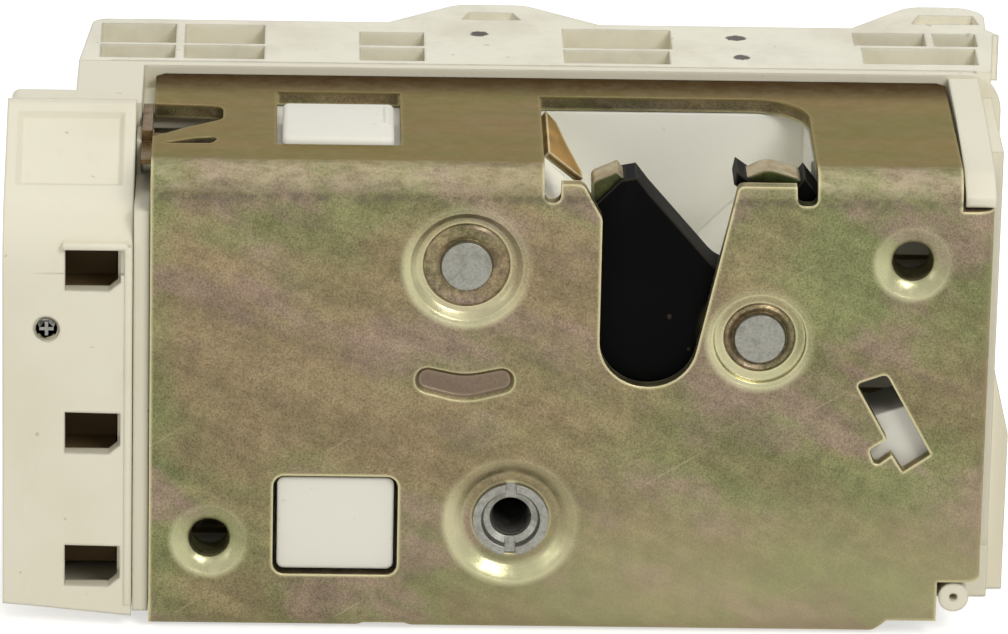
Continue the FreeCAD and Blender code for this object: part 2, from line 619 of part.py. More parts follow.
def make_front_housing():
    body = new_body("front_housing")
    wall, low = s.housing_wall, -s.plate_bottom
    front = back_plate_back + s.layer_gap
    top = flange_under - s.fit_gap
    left, right = -s.housing_left, s.rear_right
    partition = s.pocket_back + 0.4
    add_deep(body, front, s.split - front, box(left, low, right, top))
    add_deep(body, s.rim_front, s.split - s.rim_front, (
        (left, low), (right, low), (s.housing_right, low + 8.0),
        (s.housing_right, s.housing_top, s.rim_round), (left, s.housing_top)))
    cut_deep(body, front - 1.0, partition - front + 1.0,
             box(left + wall, low + wall, right - wall, top - wall))
    cut_deep(body, partition + wall, s.split - partition - wall + 1.0,
             box(left + wall, low + wall, right - wall, top - wall - 4.0))
    # openings of the top wall: carrier shelf, striker channel, corner clip and flange clip
    gap = s.carrier_gap
    cut_down(body, top + 1.0, wall + 1.2,
             box(-s.flange_window_left - 1.0 - gap, front - 1.0, -s.flange_window_right + 1.0 + gap,
                 s.pocket_back + 0.4),
             box(3.4 - s.carrier_wall - gap, front - 1.0, 35.6 + s.carrier_wall + gap,
                 s.pocket_back + 0.4))
    cut_down(body, top + 1.0, 3.8, box(s.flange_right + 0.2, front - 1.0, s.side_face + 0.3, 20.0))
    cut_down(body, top + 1.0, 5.9, box(left + 0.6, front - 1.0, left + 10.2, 25.0))
    # strip beside the plate's left edge and lobe behind the side cover
    strip_right = -s.plate_left - s.fit_gap
    add_deep(body, 1.0, front - 1.0 + 0.5, box(left, -12.6, strip_right, 39.0))
    add_deep(body, s.cover_back, s.lobe_back - s.cover_back, (
        (-s.side_left, -s.cover_low + 0.8), (left + 0.5, -s.cover_low),
        (left + 0.5, s.housing_top), (-s.side_left, s.housing_top, 1.0)))
    add_deep(body, s.lobe_back - 0.5, s.split - s.lobe_back + 0.5,
             box(-s.rear_left, 29.5, left + 0.5, s.housing_top))
    cut_deep(body, s.cover_back - 1.0, 2.5, box(
        -s.side_left + s.cover_wall, -s.cover_low + 3.0, left - s.cover_wall,
        s.housing_top - s.cover_wall))
    # bulge of the right wall and the foot barrel in the plate's corner notch
    add_deep(body, 16.0, 18.0, (
        (right - 1.0, s.bulge_top + 7.0), (right, s.bulge_top + 5.0),
        (s.bulge_right, s.bulge_top - 4.0, 4.0), (s.bulge_right, low), (right - 1.0, low)))
    add_deep(body, 0.6, front - 0.6 + 0.5, ("circle", 54.1, -9.5, 1.85))
    add_deep(body, back_plate_front + 1.2, front - back_plate_front - 1.2 + 2.0,
             box(52.0, low, right, -7.6))
    cut_deep(body, -0.4, 3.0, ("circle", 54.1, -9.5, 0.5))
    # slot in the left wall for the handle levers
    cut_right(body, left - 1.0, wall + 2.0, box(s.lobe_back, -6.0, s.pocket_back + 0.4, 24.0))
    # bore of the drive's lock spindle in the partition
    cut_deep(body, partition - 1.0, wall + 2.0,
             ("circle", -s.lock_x, s.lock_z, s.spindle_radius + s.pivot_play))
    # seat of the motor
    add_deep(body, partition + wall - 0.3, s.motor_y - s.motor_half - partition - wall + 0.3,
             *motor_ribs())
    # bosses for the housing screws
    add_deep(body, partition - 3.0, s.split - partition + 3.0,
             *[("circle", x, z, s.screw_boss) for x, z in screw_places()[1:]])
    cut_deep(body, partition - 2.0, s.split - partition + 3.0,
             *[("circle", x, z, s.screw_radius) for x, z in screw_places()])


def motor_ribs():
    return [box(s.motor_left + x, s.motor_z - 7.5, s.motor_left + x + 2.0, s.motor_z + 7.5)
            for x in (2.0, 20.0)]


def screw_places():
    return ((-s.screw_left, s.screw_high), (s.screw_right, s.screw_high),
            (-s.screw_left + 9.0, -s.screw_low), (s.screw_right, -s.screw_low))


TOP_POCKETS = (
    (-50.9, 43.7, -41.6, 51.2), (-40.5, 43.7, -30.6, 51.2), (-50.9, 37.8, -41.6, 42.9),
    (-40.5, 37.8, -30.6, 42.9), (-18.8, 43.7, -10.8, 49.0), (-18.8, 37.8, -10.8, 42.9),
    (6.5, 43.7, 20.0, 51.2), (6.5, 37.8, 19.6, 42.9), (42.8, 46.2, 51.8, 51.2),
    (52.8, 46.2, 58.2, 51.2), (43.6, 39.0, 57.8, 45.3),
)


def ear(left, right, back, low_left, low_right):
    """Outline of an ear on the rear edge, seen from above."""
    root = s.housing_back - 2.0
    return ((low_left, root), (low_left + 2.0, root + 2.2), (left, back, 4.0),
            (right, back, 4.0), (low_right - 1.5, root + 2.2), (low_right, root))


def make_rear_housing():
    body = new_body("rear_housing")
    wall, low, top = s.housing_wall, -s.plate_bottom, s.housing_top
    left, right, back = -s.rear_left, s.rear_right, s.housing_back
    add_up(body, low, top - low, (
        (left, s.split), (right, s.split), (right + 1.4, back, 2.0), (left + 1.4, back, 2.0)))
    cut_down(body, top + 1.0, 1.35, (
        (left + 4.0, s.split - 1.0), (right - 2.0, s.split - 1.0), (right - 2.0, s.split + 0.35),
        (left + 4.0, s.split + 0.35)))
    for left_root, right_root, start, end, reach in (
            (-17.0, 12.5, -6.5, 2.0, s.ear_back), (41.0, 61.2, 50.5, 60.0, s.ear_back + 1.4)):
        add_up(body, top - s.ear_thick, s.ear_thick, ear(start, end, reach, left_root, right_root))
    roof = 8.0
    cut_deep(body, s.split - 1.0, back - wall - s.split + 1.0,
             box(left + wall + 1.4, low + wall, right - wall, top - roof))
    for pockets in (TOP_POCKETS[:4], TOP_POCKETS[4:8], TOP_POCKETS[8:]):
        cut_down(body, top + 1.0, roof - wall + 1.4, *[box(*pocket) for pocket in pockets])
    cut_down(body, top + 1.0, 2.2, (
        (-6.0, back + 1.5), (1.4, back + 1.5), (0.4, back + 4.4), (-5.0, back + 4.4)))
    cut_down(body, top + 1.0, 2.2, (
        (50.5, back + 2.0), (59.0, back + 2.0), (58.4, back + 5.6), (51.6, back + 5.6)))
    # bores for the key cam and the lock spindle in the rear wall, and the lower relief
    cut_deep(body, back - wall - 1.0, wall + 2.0,
             ("circle", s.key_x, s.key_z, s.key_radius + s.pivot_play),
             ("circle", -s.lock_x, s.lock_z, s.spindle_radius + s.pivot_play))
    add_deep(body, s.split, back - wall - s.split + 0.5,
             *[("circle", x, z, s.screw_boss) for x, z in screw_places()])
    add_deep(body, s.motor_y + s.motor_half, back - wall - s.motor_y - s.motor_half + 0.5,
             *motor_ribs())
    cut_deep(body, s.split - 1.0, back - s.split + 2.0,
             *[("circle", x, z, s.screw_radius + 0.15) for x, z in screw_places()])


def cover_windows():
    """Heights of the lower edges of the side cover's windows."""
    return (s.cover_slope_low - 8.1, s.cover_low - 5.0, -s.cover_low + 3.8)


def make_side_cover():
    body = new_body("side_cover")
    left, right = -s.side_left, -s.housing_left - s.fit_gap
    front, back, low, top = s.cover_front, s.cover_back - s.fit_gap, -s.cover_low, s.housing_top
    wall = s.cover_wall
    add_right(body, left, right - left, (
        (front, low), (back, low), (back, top), (back - 1.4, top, 1.0),
        (front, s.cover_slope_low, 9.0)))
    # face that rises to a step above the windows and beside the plate
    add_up(body, low, s.cover_low + 31.0, (
        (-s.cover_screw_x - 2.4, front), (right, front - 0.5), (right, front + 1.0),
        (-s.cover_screw_x - 2.4, front + 1.0)))
    cut_right(body, left + wall, right - left - 2 * wall, (
        (front + wall, low + wall), (back + 1.0, low + wall), (back + 1.0, top - wall),
        (back - 0.6, top - wall), (front + wall, s.cover_slope_low - 0.8)))
    for base in cover_windows():
        cut_deep(body, front - 1.0, wall + 2.0, (
            (-s.cover_window_left, base), (-s.cover_window_right - 1.4, base),
            (-s.cover_window_right, base + 1.2),
            (-s.cover_window_right, base + s.cover_window_high),
            (-s.cover_window_left, base + s.cover_window_high)))
    screw_at = (-s.cover_screw_x, s.cover_screw_z)
    cut_deep(body, front - 1.0, 1.4, ("circle", *screw_at, 1.6))
    cut_deep(body, front - 1.0, wall + 3.0, ("circle", *screw_at, 0.9))
    cut_deep(body, front - 1.0, back - front + 3.0, (
        (left - 1.0, low - 1.0), (right + 1.0, low - 1.0), (right + 1.0, low),
        (left - 1.0, low + 1.4)))


def make_small_pieces():
    screw = new_body("cover_screw")
    turn_deep(screw, -s.cover_screw_x, s.cover_screw_z, (
        (0, s.cover_front + 0.1), (1.3, s.cover_front + 0.1), (1.3, s.cover_front + 0.4),
        (0.9, s.cover_front + 0.4), (0.9, s.cover_front + 6.0), (0, s.cover_front + 6.0)))
    clip = new_body("corner_clip")
    add_right(clip, s.flange_right + 0.4, s.side_face - s.flange_right - 0.3, (
        (s.rim_front - 0.05, s.housing_top - 2.4), (s.rim_front - 0.05, s.housing_top - 0.2, 0.6),
        (20.0, s.housing_top - 0.5, 20.0), (5.0, 43.9, 5.0), (0.9, 42.0, 0.5), (0.9, 40.6, 0.4),
        (12.8, 40.6, 0.8), (19.0, flange_under, 6.0), (26.0, s.housing_top - 2.2)))
    spring = new_body("flange_clip")
    clip_left = -s.housing_left + 0.65
    clip_front = back_plate_back + s.layer_gap + 0.2
    add_right(spring, clip_left, 1.25, box(clip_front, flange_under - 0.6, clip_front + 10.1,
                                           flange_under + 1.2))
    add_right(spring, clip_left, 9.0, box(clip_front - 6.7, flange_under - 0.8, clip_front + 1.5,
                                          flange_under - 0.2))
    add_right(spring, clip_left + 0.2, 8.5, ("circle", clip_front + 2.7, flange_under - 2.0, 1.9))
    terminal = new_body("terminal_block")
    front = s.cover_front + s.cover_wall + 2.6
    add_deep(terminal, front, s.cover_back + 0.6 - front, box(
        -s.side_left + s.cover_wall + 0.3, -s.cover_low + 3.2,
        -s.housing_left - s.cover_wall - 0.4, s.cover_slope_low - 1.0))
    cut_deep(terminal, front - 1.0, 4.0, ("circle", -s.cover_screw_x, s.cover_screw_z, 0.9))
    cut_deep(terminal, front - 1.0, 6.0, *[
        box(-s.cover_window_left - 0.8, z - 1.2, -s.cover_window_right + 0.4, z + 6.6)
        for z in cover_windows()])


def make_levers():
    px, pz = -s.pawl_x, s.pawl_z
    layer = back_plate_back + s.layer_gap
    release = new_body("release_lever")
    add_deep(release, layer, s.lever_thick, (
        (px + 5.8, pz + 3.0, 3.0), (px + 4.6, pz - 12.0, 3.0), (px + 1.6, pz - 26.0, 1.6),
        (px - 3.4, pz - 26.4, 1.6), (px - 4.0, pz - 13.0, 2.0), (px - 6.2, pz - 2.6, 2.0),
        (px - 17.0, pz - 2.0, 1.4), (px - 17.4, pz + 2.4, 1.4), (px - 5.6, pz + 6.2, 4.0),
        (px + 3.4, pz + 6.6, 3.0)))
    pin_x, pin_z = pawl_pin()
    cut_deep(release, 0.0, 30.0, ("circle", px, pz, s.rivet_tail + s.pivot_play))
    cut_deep(release, 0.0, 30.0, ("circle", pin_x, pin_z, s.pin_radius + 0.2))
    stud_x, stud_z = -s.stud_x, s.stud_z
    stud = new_body("lever_stud")
    stud_end = s.pocket_back + 0.3
    turn_deep(stud, stud_x, stud_z, (
        (0, back_plate_back), (4.6, back_plate_back), (4.6, s.lobe_back + 0.2),
        (s.spindle_radius, s.lobe_back + 0.2), (s.spindle_radius, stud_end), (0, stud_end)))
    spacer = new_body("lever_spacer")
    outside_front = s.lobe_back + 0.3
    inside_front = outside_front + s.lever_thick + s.lever_gap
    turn_deep(spacer, stud_x, stud_z, (
        (s.spindle_radius, outside_front + s.lever_thick + 0.1),
        (s.spindle_radius + 2.0, outside_front + s.lever_thick + 0.1),
        (s.spindle_radius + 2.0, inside_front - 0.1), (s.spindle_radius, inside_front - 0.1)))
    outside = new_body("outside_lever")
    add_deep(outside, outside_front, s.lever_thick, (
        (stud_x + 5.5, stud_z - 4.5, 4.0), (stud_x + 12.0, stud_z + 8.0, 3.0),
        (stud_x + 17.6, stud_z + 12.0, 2.0), (stud_x + 13.6, stud_z + 16.0, 2.0),
        (stud_x + 4.0, stud_z + 6.5, 4.0), (stud_x - 6.0, stud_z + 5.0, 4.0),
        (stud_x - 24.0, stud_z - 1.0, 2.0), (stud_x - 24.0, stud_z - 7.0, 2.0),
        (stud_x - 8.0, stud_z - 5.0, 5.0)))
    cut_deep(outside, 0.0, 40.0, ("circle", stud_x, stud_z, s.spindle_radius + s.pivot_play))
    cut_deep(outside, 0.0, 40.0, ("circle", stud_x - 21.0, stud_z - 4.0, 1.6),
             ("circle", stud_x + 14.4, stud_z + 12.9, 1.4))
    finger = new_body("outside_lever_pin")
    turn_deep(finger, stud_x + 14.4, stud_z + 12.9, (
        (0, layer + 0.1), (1.4, layer + 0.1), (1.4, outside_front + s.lever_thick),
        (0, outside_front + s.lever_thick)))
    inside = new_body("inside_lever")
    add_deep(inside, inside_front, s.lever_thick, (
        (stud_x + 5.0, stud_z - 5.0, 4.0), (stud_x + 13.0, stud_z - 2.0, 2.0),
        (stud_x + 13.0, stud_z + 4.0, 2.0), (stud_x + 4.0, stud_z + 6.5, 4.0),
        (stud_x - 6.0, stud_z + 6.0, 4.0), (stud_x - 23.0, stud_z + 8.5, 2.0),
        (stud_x - 23.0, stud_z + 2.5, 2.0), (stud_x - 7.0, stud_z - 3.5, 5.0)))
    cut_deep(inside, 0.0, 40.0, ("circle", stud_x, stud_z, s.spindle_radius + s.pivot_play))
    cut_deep(inside, 0.0, 40.0, ("circle", stud_x - 20.0, stud_z + 5.5, 1.6))


GEAR_TEETH = 23


def make_drive():
    mx, my, mz = s.motor_left, s.motor_y, s.motor_z
    motor = new_body("actuator_motor")
    sketch = new_sketch(motor, "YZ_Plane", (0, 0, mx))
    draw(sketch, [box(my - s.motor_half, mz - s.motor_radius, my + s.motor_half,
                      mz + s.motor_radius, 6.4)])
    sweep_sketch(motor, "Pad", sketch, s.motor_long, False)
    cut_right(motor, mx - 1.0, 4.0, ("circle", my, mz, s.shaft_radius + s.pivot_play))
    worm = new_body("drive_worm")
    worm_left = mx - s.worm_long - 1.5
    add_right(worm, worm_left, s.worm_long, ("circle", my, mz, s.worm_root))
    add_right(worm, worm_left, s.worm_long + 4.0, ("circle", my, mz, s.shaft_radius))
    gear_z = mz + s.worm_pitch + s.gear_pitch
    gear = new_body("drive_gear")
    gear_front = my - s.gear_thick / 2
    root = s.gear_pitch - s.tooth_down
    add_deep(gear, gear_front, s.gear_thick, ("circle", s.gear_x, gear_z, root))
    sketch = new_sketch(gear, "XZ_Plane", (s.gear_x, gear_z, -gear_front))
    draw(sketch, [(
        (-s.tooth_half * 1.6, root - 0.3), (s.tooth_half * 1.6, root - 0.3),
        (s.tooth_half * 0.6, s.gear_pitch + s.tooth_up),
        (-s.tooth_half * 0.6, s.gear_pitch + s.tooth_up))])
    tooth = sweep_sketch(gear, "Pad", sketch, s.gear_thick, True)
    teeth = gear.newObject("PartDesign::PolarPattern", "drive_gear_teeth")
    teeth.Originals = [tooth]
    teeth.Axis = (sketch, ["N_Axis"])
    teeth.Angle = 360
    teeth.Occurrences = GEAR_TEETH
    gear.Tip = teeth
    cut_deep(gear, 0.0, 60.0, ("circle", s.gear_x, gear_z, 2.0 + s.pivot_play))
    pin = new_body("gear_pin")
    partition_back = s.pocket_back + 0.4 + s.housing_wall
    add_deep(pin, partition_back, s.housing_back - s.housing_wall - partition_back,
             ("circle", s.gear_x, gear_z, 2.0))
    lock = new_body("lock_lever")
    front = partition_back + 0.5
    x, z = -s.lock_x, s.lock_z
    add_deep(lock, front, s.lever_thick, (
        (x - 4.5, z - 5.0, 3.0), (x + 5.0, z - 5.5, 3.0), (x + 18.0, z + 3.0, 2.0),
        (x + 16.0, z + 8.0, 2.0), (x + 4.0, z + 5.5, 3.0), (x - 4.0, z + 5.0, 3.0),
        (x - 22.0, z + 3.0, 2.0), (x - 22.0, z - 2.0, 2.0)))
    add_deep(lock, s.pocket_back - 2.0, s.housing_back + 3.0 - s.pocket_back + 2.0,
             ("circle", -s.lock_x, s.lock_z, s.spindle_radius))
    key = new_body("key_cam")
    add_deep(key, s.housing_back - 5.0, 6.5, ("circle", s.key_x, s.key_z, s.key_radius))
    add_deep(key, s.housing_back - 6.0, 1.0, ("circle", s.key_x, s.key_z, s.key_radius - 2.0))
    cut_deep(key, s.housing_back - 2.0, 5.0,
             box(s.key_x - 1.2, s.key_z - 4.5, s.key_x + 1.2, s.key_z + 4.5, 0.6))
    cut_deep(key, s.housing_back - 2.0, 5.0,
             box(s.key_x - 4.5, s.key_z - 1.2, s.key_x + 4.5, s.key_z + 1.2, 0.6))


def make_switches():
    front = s.split + 1.6
    low = s.housing_wall - s.plate_bottom + 0.2
    top = low + s.switch_high
    for label, x in (("door_switch", -s.lock_x - 13.0), ("lock_switch", -s.lock_x - 28.0)):
        body = new_body(label)
        add_deep(body, front, 6.5, box(x, low, x + 13.0, top))
        cut_down(body, top + 1.0, 2.8, box(x + 2.95, front + 1.75, x + 5.25, front + 4.85))
        plunger = new_body(label + "_plunger")
        add_deep(plunger, front + 1.8, 3.0, box(x + 3.0, top - 1.0, x + 5.2, top + 1.6))


def make_screws():
    screws = []
    for index, (x, z) in enumerate(screw_places()):
        body = doc.addObject("PartDesign::Body", "screw_%d" % index)
        body.Label = "screw_%d" % index
        bind(body, "Placement.Base.y", -s.plate_thick)
        end = s.housing_back + 1.9
        turn_deep(body, x, z, (
            (0, s.split - 6.0), (s.screw_radius, s.split - 6.0), (s.screw_radius, s.housing_back),
            (s.screw_radius + 1.8, s.housing_back), (s.screw_radius + 1.8, end - 0.8),
            (s.screw_radius + 1.0, end), (0, end)))
        screws.append(body)
    group = doc.addObject("Part::Compound", "housing_screws")
    group.Label = "housing_screws"
    group.Links = screws
    SUB_PARTS.append(group)


for build in (make_front_plate, make_carrier, make_striker_cup, make_back_plate, make_rivets,
              make_bush, make_claw, make_pawl, make_springs_and_buffer, make_child_lock,
              make_front_housing, make_rear_housing, make_side_cover, make_small_pieces,
              make_levers, make_drive, make_switches, make_screws):
    build()
    doc.recompute()

for item in doc.Objects:
    if "Invalid" in item.State or "Error" in item.State:
        raise RuntimeError("%s failed: %s" % (item.Label, item.State))
os.makedirs("parts", exist_ok=True)
for part in SUB_PARTS:
    if part.Shape.isNull() or not part.Shape.isValid():
        raise RuntimeError(part.Label + " has no valid shape")
for part in SUB_PARTS:
    part.Shape.exportStep("parts/%s.step" % part.Label)
    print(part.Label, len(part.Shape.Solids), round(part.Shape.Volume, 1))
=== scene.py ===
import bmesh
import bpy
import json
import math
from mathutils import Matrix, Vector


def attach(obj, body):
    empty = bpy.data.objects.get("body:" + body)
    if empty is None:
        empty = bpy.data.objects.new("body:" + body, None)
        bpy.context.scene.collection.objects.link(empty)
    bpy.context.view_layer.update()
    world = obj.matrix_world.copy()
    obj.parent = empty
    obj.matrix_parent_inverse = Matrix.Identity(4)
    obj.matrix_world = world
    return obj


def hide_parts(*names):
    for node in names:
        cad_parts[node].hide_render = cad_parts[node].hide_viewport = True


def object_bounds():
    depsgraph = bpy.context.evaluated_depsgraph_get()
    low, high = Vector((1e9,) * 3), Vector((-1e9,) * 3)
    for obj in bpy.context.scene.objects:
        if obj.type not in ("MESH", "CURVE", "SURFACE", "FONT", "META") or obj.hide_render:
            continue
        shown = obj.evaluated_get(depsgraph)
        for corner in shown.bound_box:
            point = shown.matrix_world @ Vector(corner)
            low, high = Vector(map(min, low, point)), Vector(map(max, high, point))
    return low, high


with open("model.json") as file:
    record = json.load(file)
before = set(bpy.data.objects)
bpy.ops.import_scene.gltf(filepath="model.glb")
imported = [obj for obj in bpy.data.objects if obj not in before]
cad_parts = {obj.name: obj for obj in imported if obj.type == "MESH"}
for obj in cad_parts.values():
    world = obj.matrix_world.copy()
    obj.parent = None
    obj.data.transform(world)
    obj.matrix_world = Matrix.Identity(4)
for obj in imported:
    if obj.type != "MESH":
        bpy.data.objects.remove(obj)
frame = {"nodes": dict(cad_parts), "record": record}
cad_low, cad_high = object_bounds()

# Lengths are in millimetres, and places are (across, up). Depths count back from the plate's
# outer face, which lies at FACE in the frame's Y.
MM = 0.001
FACE = -1.8
PLATE_TOP = 45.0
HOUSING_BACK = 53.0
PAWL_RIVET_AT = (-5.9, 32.6)
CLAW_RIVET_AT = (29.5, 23.8)
BUSH_AT = (0.0, 0.0)
LOW_FIXING_AT = (-36.5, -2.9)
HIGH_FIXING_AT = (47.6, 33.8)
KIDNEY_AT = (-5.9, 17.6)
COVER_SCREW_AT = (-56.2, 23.9)
HOUSING_SCREWS_AT = ((-49.5, 33.5), (54.6, 33.5), (-40.5, -10.0), (54.6, -10.0))
KEY_CAM_AT = (30.0, 24.0)
LOCK_SPINDLE_AT = (-8.0, 14.0)
# Each dish has a place and the reach of its slope.
DISHES = ((PAWL_RIVET_AT, 7.4), (CLAW_RIVET_AT, 6.2), (BUSH_AT, 7.9), (LOW_FIXING_AT, 4.4),
          (HIGH_FIXING_AT, 4.4))
# Each gate mark has its X and Y in the frame and half its width.
GATE_MARKS = ((-3.9, 47.0, 1.3), (28.1, 46.6, 1.5), (28.5, 39.0, 1.2))

# Sharper edges than CREASE stay hard, and faces within FLAT of each other become one.
CREASE = math.radians(30)
FLAT = math.radians(0.6)
JOIN = 0.002

LENS_PIXELS = 8224
VIEW_PIXELS = 1008
SENSOR = 36.0
RISE, TURN, ROLL = (math.radians(angle) for angle in (20.19, 1.52, 1.23))
CAMERA_AT = (-25.9, -927.7, 366.7)
CAMERA_LIFT = 0.25
FLOOR_GAP = 0.2
FLOOR_GLOW = 0.55
WORLD_LIGHT = 0.42
# Each lamp has a name, a place and a size in metres, and a power.
LAMPS = (
    ("key", (0.45, -0.80, 0.75), 0.5, 5.6),
    ("overhead", (0.1, 0.1, 1.1), 0.8, 3.2),
    ("left_fill", (-0.8, -0.7, 0.30), 0.5, 1.0),
)

BODY_OF = {node: body for body, nodes in frame["record"]["behaviour"]["bodies"].items()
           for node in nodes}
SLOT_OF = {part["node"]: part["material_slot"] for part in frame["record"]["subparts"]}


# Shader groups

class Graph:
    """Short calls for building one node tree."""

    def __init__(self, tree):
        self.tree = tree

    def node(self, kind, **settings):
        made = self.tree.nodes.new("ShaderNode" + kind)
        for name, value in settings.items():
            setattr(made, name, value)
        return made

    def feed(self, socket, value):
        if isinstance(value, bpy.types.NodeSocket):
            self.tree.links.new(value, socket)
        else:
            socket.default_value = value

    def place(self):
        return self.node("TexCoord").outputs["Object"]

    def noise(self, at, scale, detail=2.0, rough=0.5, stretch=None, turn=0.0):
        """Noise, drawn out along X, Y and Z by the stretch after a turn about Y."""
        if stretch is not None:
            mapping = self.node("Mapping", vector_type="TEXTURE")
            self.feed(mapping.inputs["Vector"], at)
            mapping.inputs["Rotation"].default_value = (0, math.radians(turn), 0)
            mapping.inputs["Scale"].default_value = stretch
            at = mapping.outputs["Vector"]
        made = self.node("TexNoise")
        self.feed(made.inputs["Vector"], at)
        self.feed(made.inputs["Scale"], scale)
        made.inputs["Detail"].default_value = detail
        made.inputs["Roughness"].default_value = rough
        return made.outputs["Fac"]

    def math(self, operation, a, b=0.0):
        made = self.node("Math", operation=operation)
        self.feed(made.inputs[0], a)
        self.feed(made.inputs[1], b)
        return made.outputs["Value"]

    def times(self, a, b):
        return self.math("MULTIPLY", a, b)

    def plus(self, a, b):
        return self.math("ADD", a, b)

    def minus(self, a, b):
        return self.math("SUBTRACT", a, b)

    def most(self, a, b):
        return self.math("MAXIMUM", a, b)

    def span(self, value, low, high, out_low=0.0, out_high=1.0, smooth=True):
        """Maps low..high to out_low..out_high and stays within them."""
        made = self.node("MapRange", interpolation_type="SMOOTHSTEP" if smooth else "LINEAR")
        self.feed(made.inputs["Value"], value)
        for name, number in (("From Min", low), ("From Max", high),
                             ("To Min", out_low), ("To Max", out_high)):
            self.feed(made.inputs[name], number)
        return made.outputs["Result"]

    def step(self, value, low, high, out_low=0.0, out_high=1.0):
        """A soft step between two places given in millimetres."""
        return self.span(value, low * MM, high * MM, out_low, out_high)

    def mix(self, share, a, b, blend="MIX"):
        made = self.node("Mix", data_type="RGBA", blend_type=blend)
        self.feed(made.inputs["Factor"], share)
        self.feed(made.inputs[6], a)
        self.feed(made.inputs[7], b)
        return made.outputs[2]

    def lay(self, color, film, mask, strength):
        """Lays a film over the colour, as far as the mask and its strength say."""
        return self.mix(self.times(mask, strength), color, film)

    def shade(self, color, value):
        """The colour, lighter or darker by the value."""
        tone = self.node("CombineColor")
        for channel in ("Red", "Green", "Blue"):
            self.feed(tone.inputs[channel], value)
        return self.mix(1.0, color, tone.outputs["Color"], "MULTIPLY")

    def fade_to_one(self, share, value):
        """The value where the share is 0, and 1 where the share is 1."""
        return self.plus(self.times(value, self.minus(1.0, share)), share)

    def axes(self, at):
        split = self.node("SeparateXYZ")
        self.feed(split.inputs[0], at)
        return split.outputs

    def distance(self, at, place, stretch=(1.0, 1.0, 1.0)):
        """Distance in the X-Z plane from a place."""
        mapping = self.node("Mapping", vector_type="TEXTURE")
        self.feed(mapping.inputs["Vector"], at)
        mapping.inputs["Location"].default_value = (place[0] * MM, 0, place[1] * MM)
        mapping.inputs["Scale"].default_value = stretch
        across, _, up = self.axes(mapping.outputs["Vector"])
        return self.math("SQRT", self.plus(self.times(across, across), self.times(up, up)))


def new_group(name, inputs, outputs):
    """A shader group with named sockets; inputs are given as (name, kind, default)."""
    tree = bpy.data.node_groups.new(name, "ShaderNodeTree")
    for label, kind, default in inputs:
        socket = tree.interface.new_socket(label, in_out="INPUT", socket_type="NodeSocket" + kind)
        socket.default_value = default
    for label, kind in outputs:
        tree.interface.new_socket(label, in_out="OUTPUT", socket_type="NodeSocket" + kind)
    return Graph(tree), tree.nodes.new("NodeGroupInput"), tree.nodes.new("NodeGroupOutput")


SKIN_OUTPUTS = (("Color", "Color"), ("Roughness", "Float"), ("Height", "Float"))


def make_zinc_group():
    """Yellow-passivated zinc: drifting tan and olive films, dark grain, smears and scratches."""
    g, entry, leave = new_group("zinc_film", (
        ("Tan", "Color", (0.246, 0.188, 0.106, 1)), ("Olive", "Color", (0.192, 0.200, 0.088, 1)),
        ("Pink", "Color", (0.255, 0.184, 0.138, 1)), ("Smooth", "Float", 0.0),
        ("Green", "Float", 0.0)), SKIN_OUTPUTS)
    bare_scratch = (0.50, 0.43, 0.28, 1)
    at = g.place()
    drift = g.noise(at, 38.0, 3.0, 0.6, (1.6, 1.0, 0.8), 22.0)
    rosy = g.noise(at, 75.0, 3.0, 0.6, (1.8, 1.0, 0.8), 25.0)
    smear = g.noise(at, 150.0, 4.0, 0.65, (5.0, 1.0, 0.7), 24.0)
    cloud = g.noise(at, 420.0, 3.0, 0.65)
    grain = g.noise(at, 4300.0, 3.0, 0.8)
    hair = g.noise(at, 900.0, 1.0, 0.5, (16.0, 1.0, 0.45), -32.0)
    green = g.plus(g.span(drift, 0.42, 0.62, 0.0, 0.85), entry.outputs["Green"])
    film = g.mix(green, entry.outputs["Tan"], entry.outputs["Olive"])
    film = g.mix(g.span(rosy, 0.48, 0.64, 0.0, 0.85), film, entry.outputs["Pink"])
    tone = g.times(g.span(smear, 0.32, 0.68, 0.84, 1.14), g.span(cloud, 0.32, 0.68, 0.84, 1.12))
    speck = g.span(grain, 0.34, 0.60, 0.56, 1.14, False)
    tone = g.times(tone, g.fade_to_one(entry.outputs["Smooth"], speck))
    scratched = g.mix(g.span(hair, 0.745, 0.775, 0.0, 0.20), g.shade(film, tone), bare_scratch)
    g.feed(leave.inputs["Color"], scratched)
    g.feed(leave.inputs["Roughness"], g.span(cloud, 0.3, 0.7, 0.36, 0.50))
    g.feed(leave.inputs["Height"], g.plus(g.times(grain, 0.4), cloud))
    return g.tree


def make_edge_group():
    """A mask that is 1 on an outer edge and fades over the width beside it, for brighter edges that
    are partly wear and partly a painted highlight.
    """
    g, entry, leave = new_group("edge_wear_and_highlight_mask", (("Width", "Float", 0.5 * MM),), (("Mask", "Float"),))
    rounded = g.node("Bevel", samples=6)
    g.feed(rounded.inputs["Radius"], entry.outputs["Width"])
    flat = g.node("NewGeometry").outputs["Normal"]
    turn = g.node("VectorMath", operation="DOT_PRODUCT")
    g.feed(turn.inputs[0], rounded.outputs["Normal"])
    g.feed(turn.inputs[1], flat)
    g.feed(leave.inputs["Mask"], g.span(turn.outputs["Value"], 0.99, 0.86))
    return g.tree


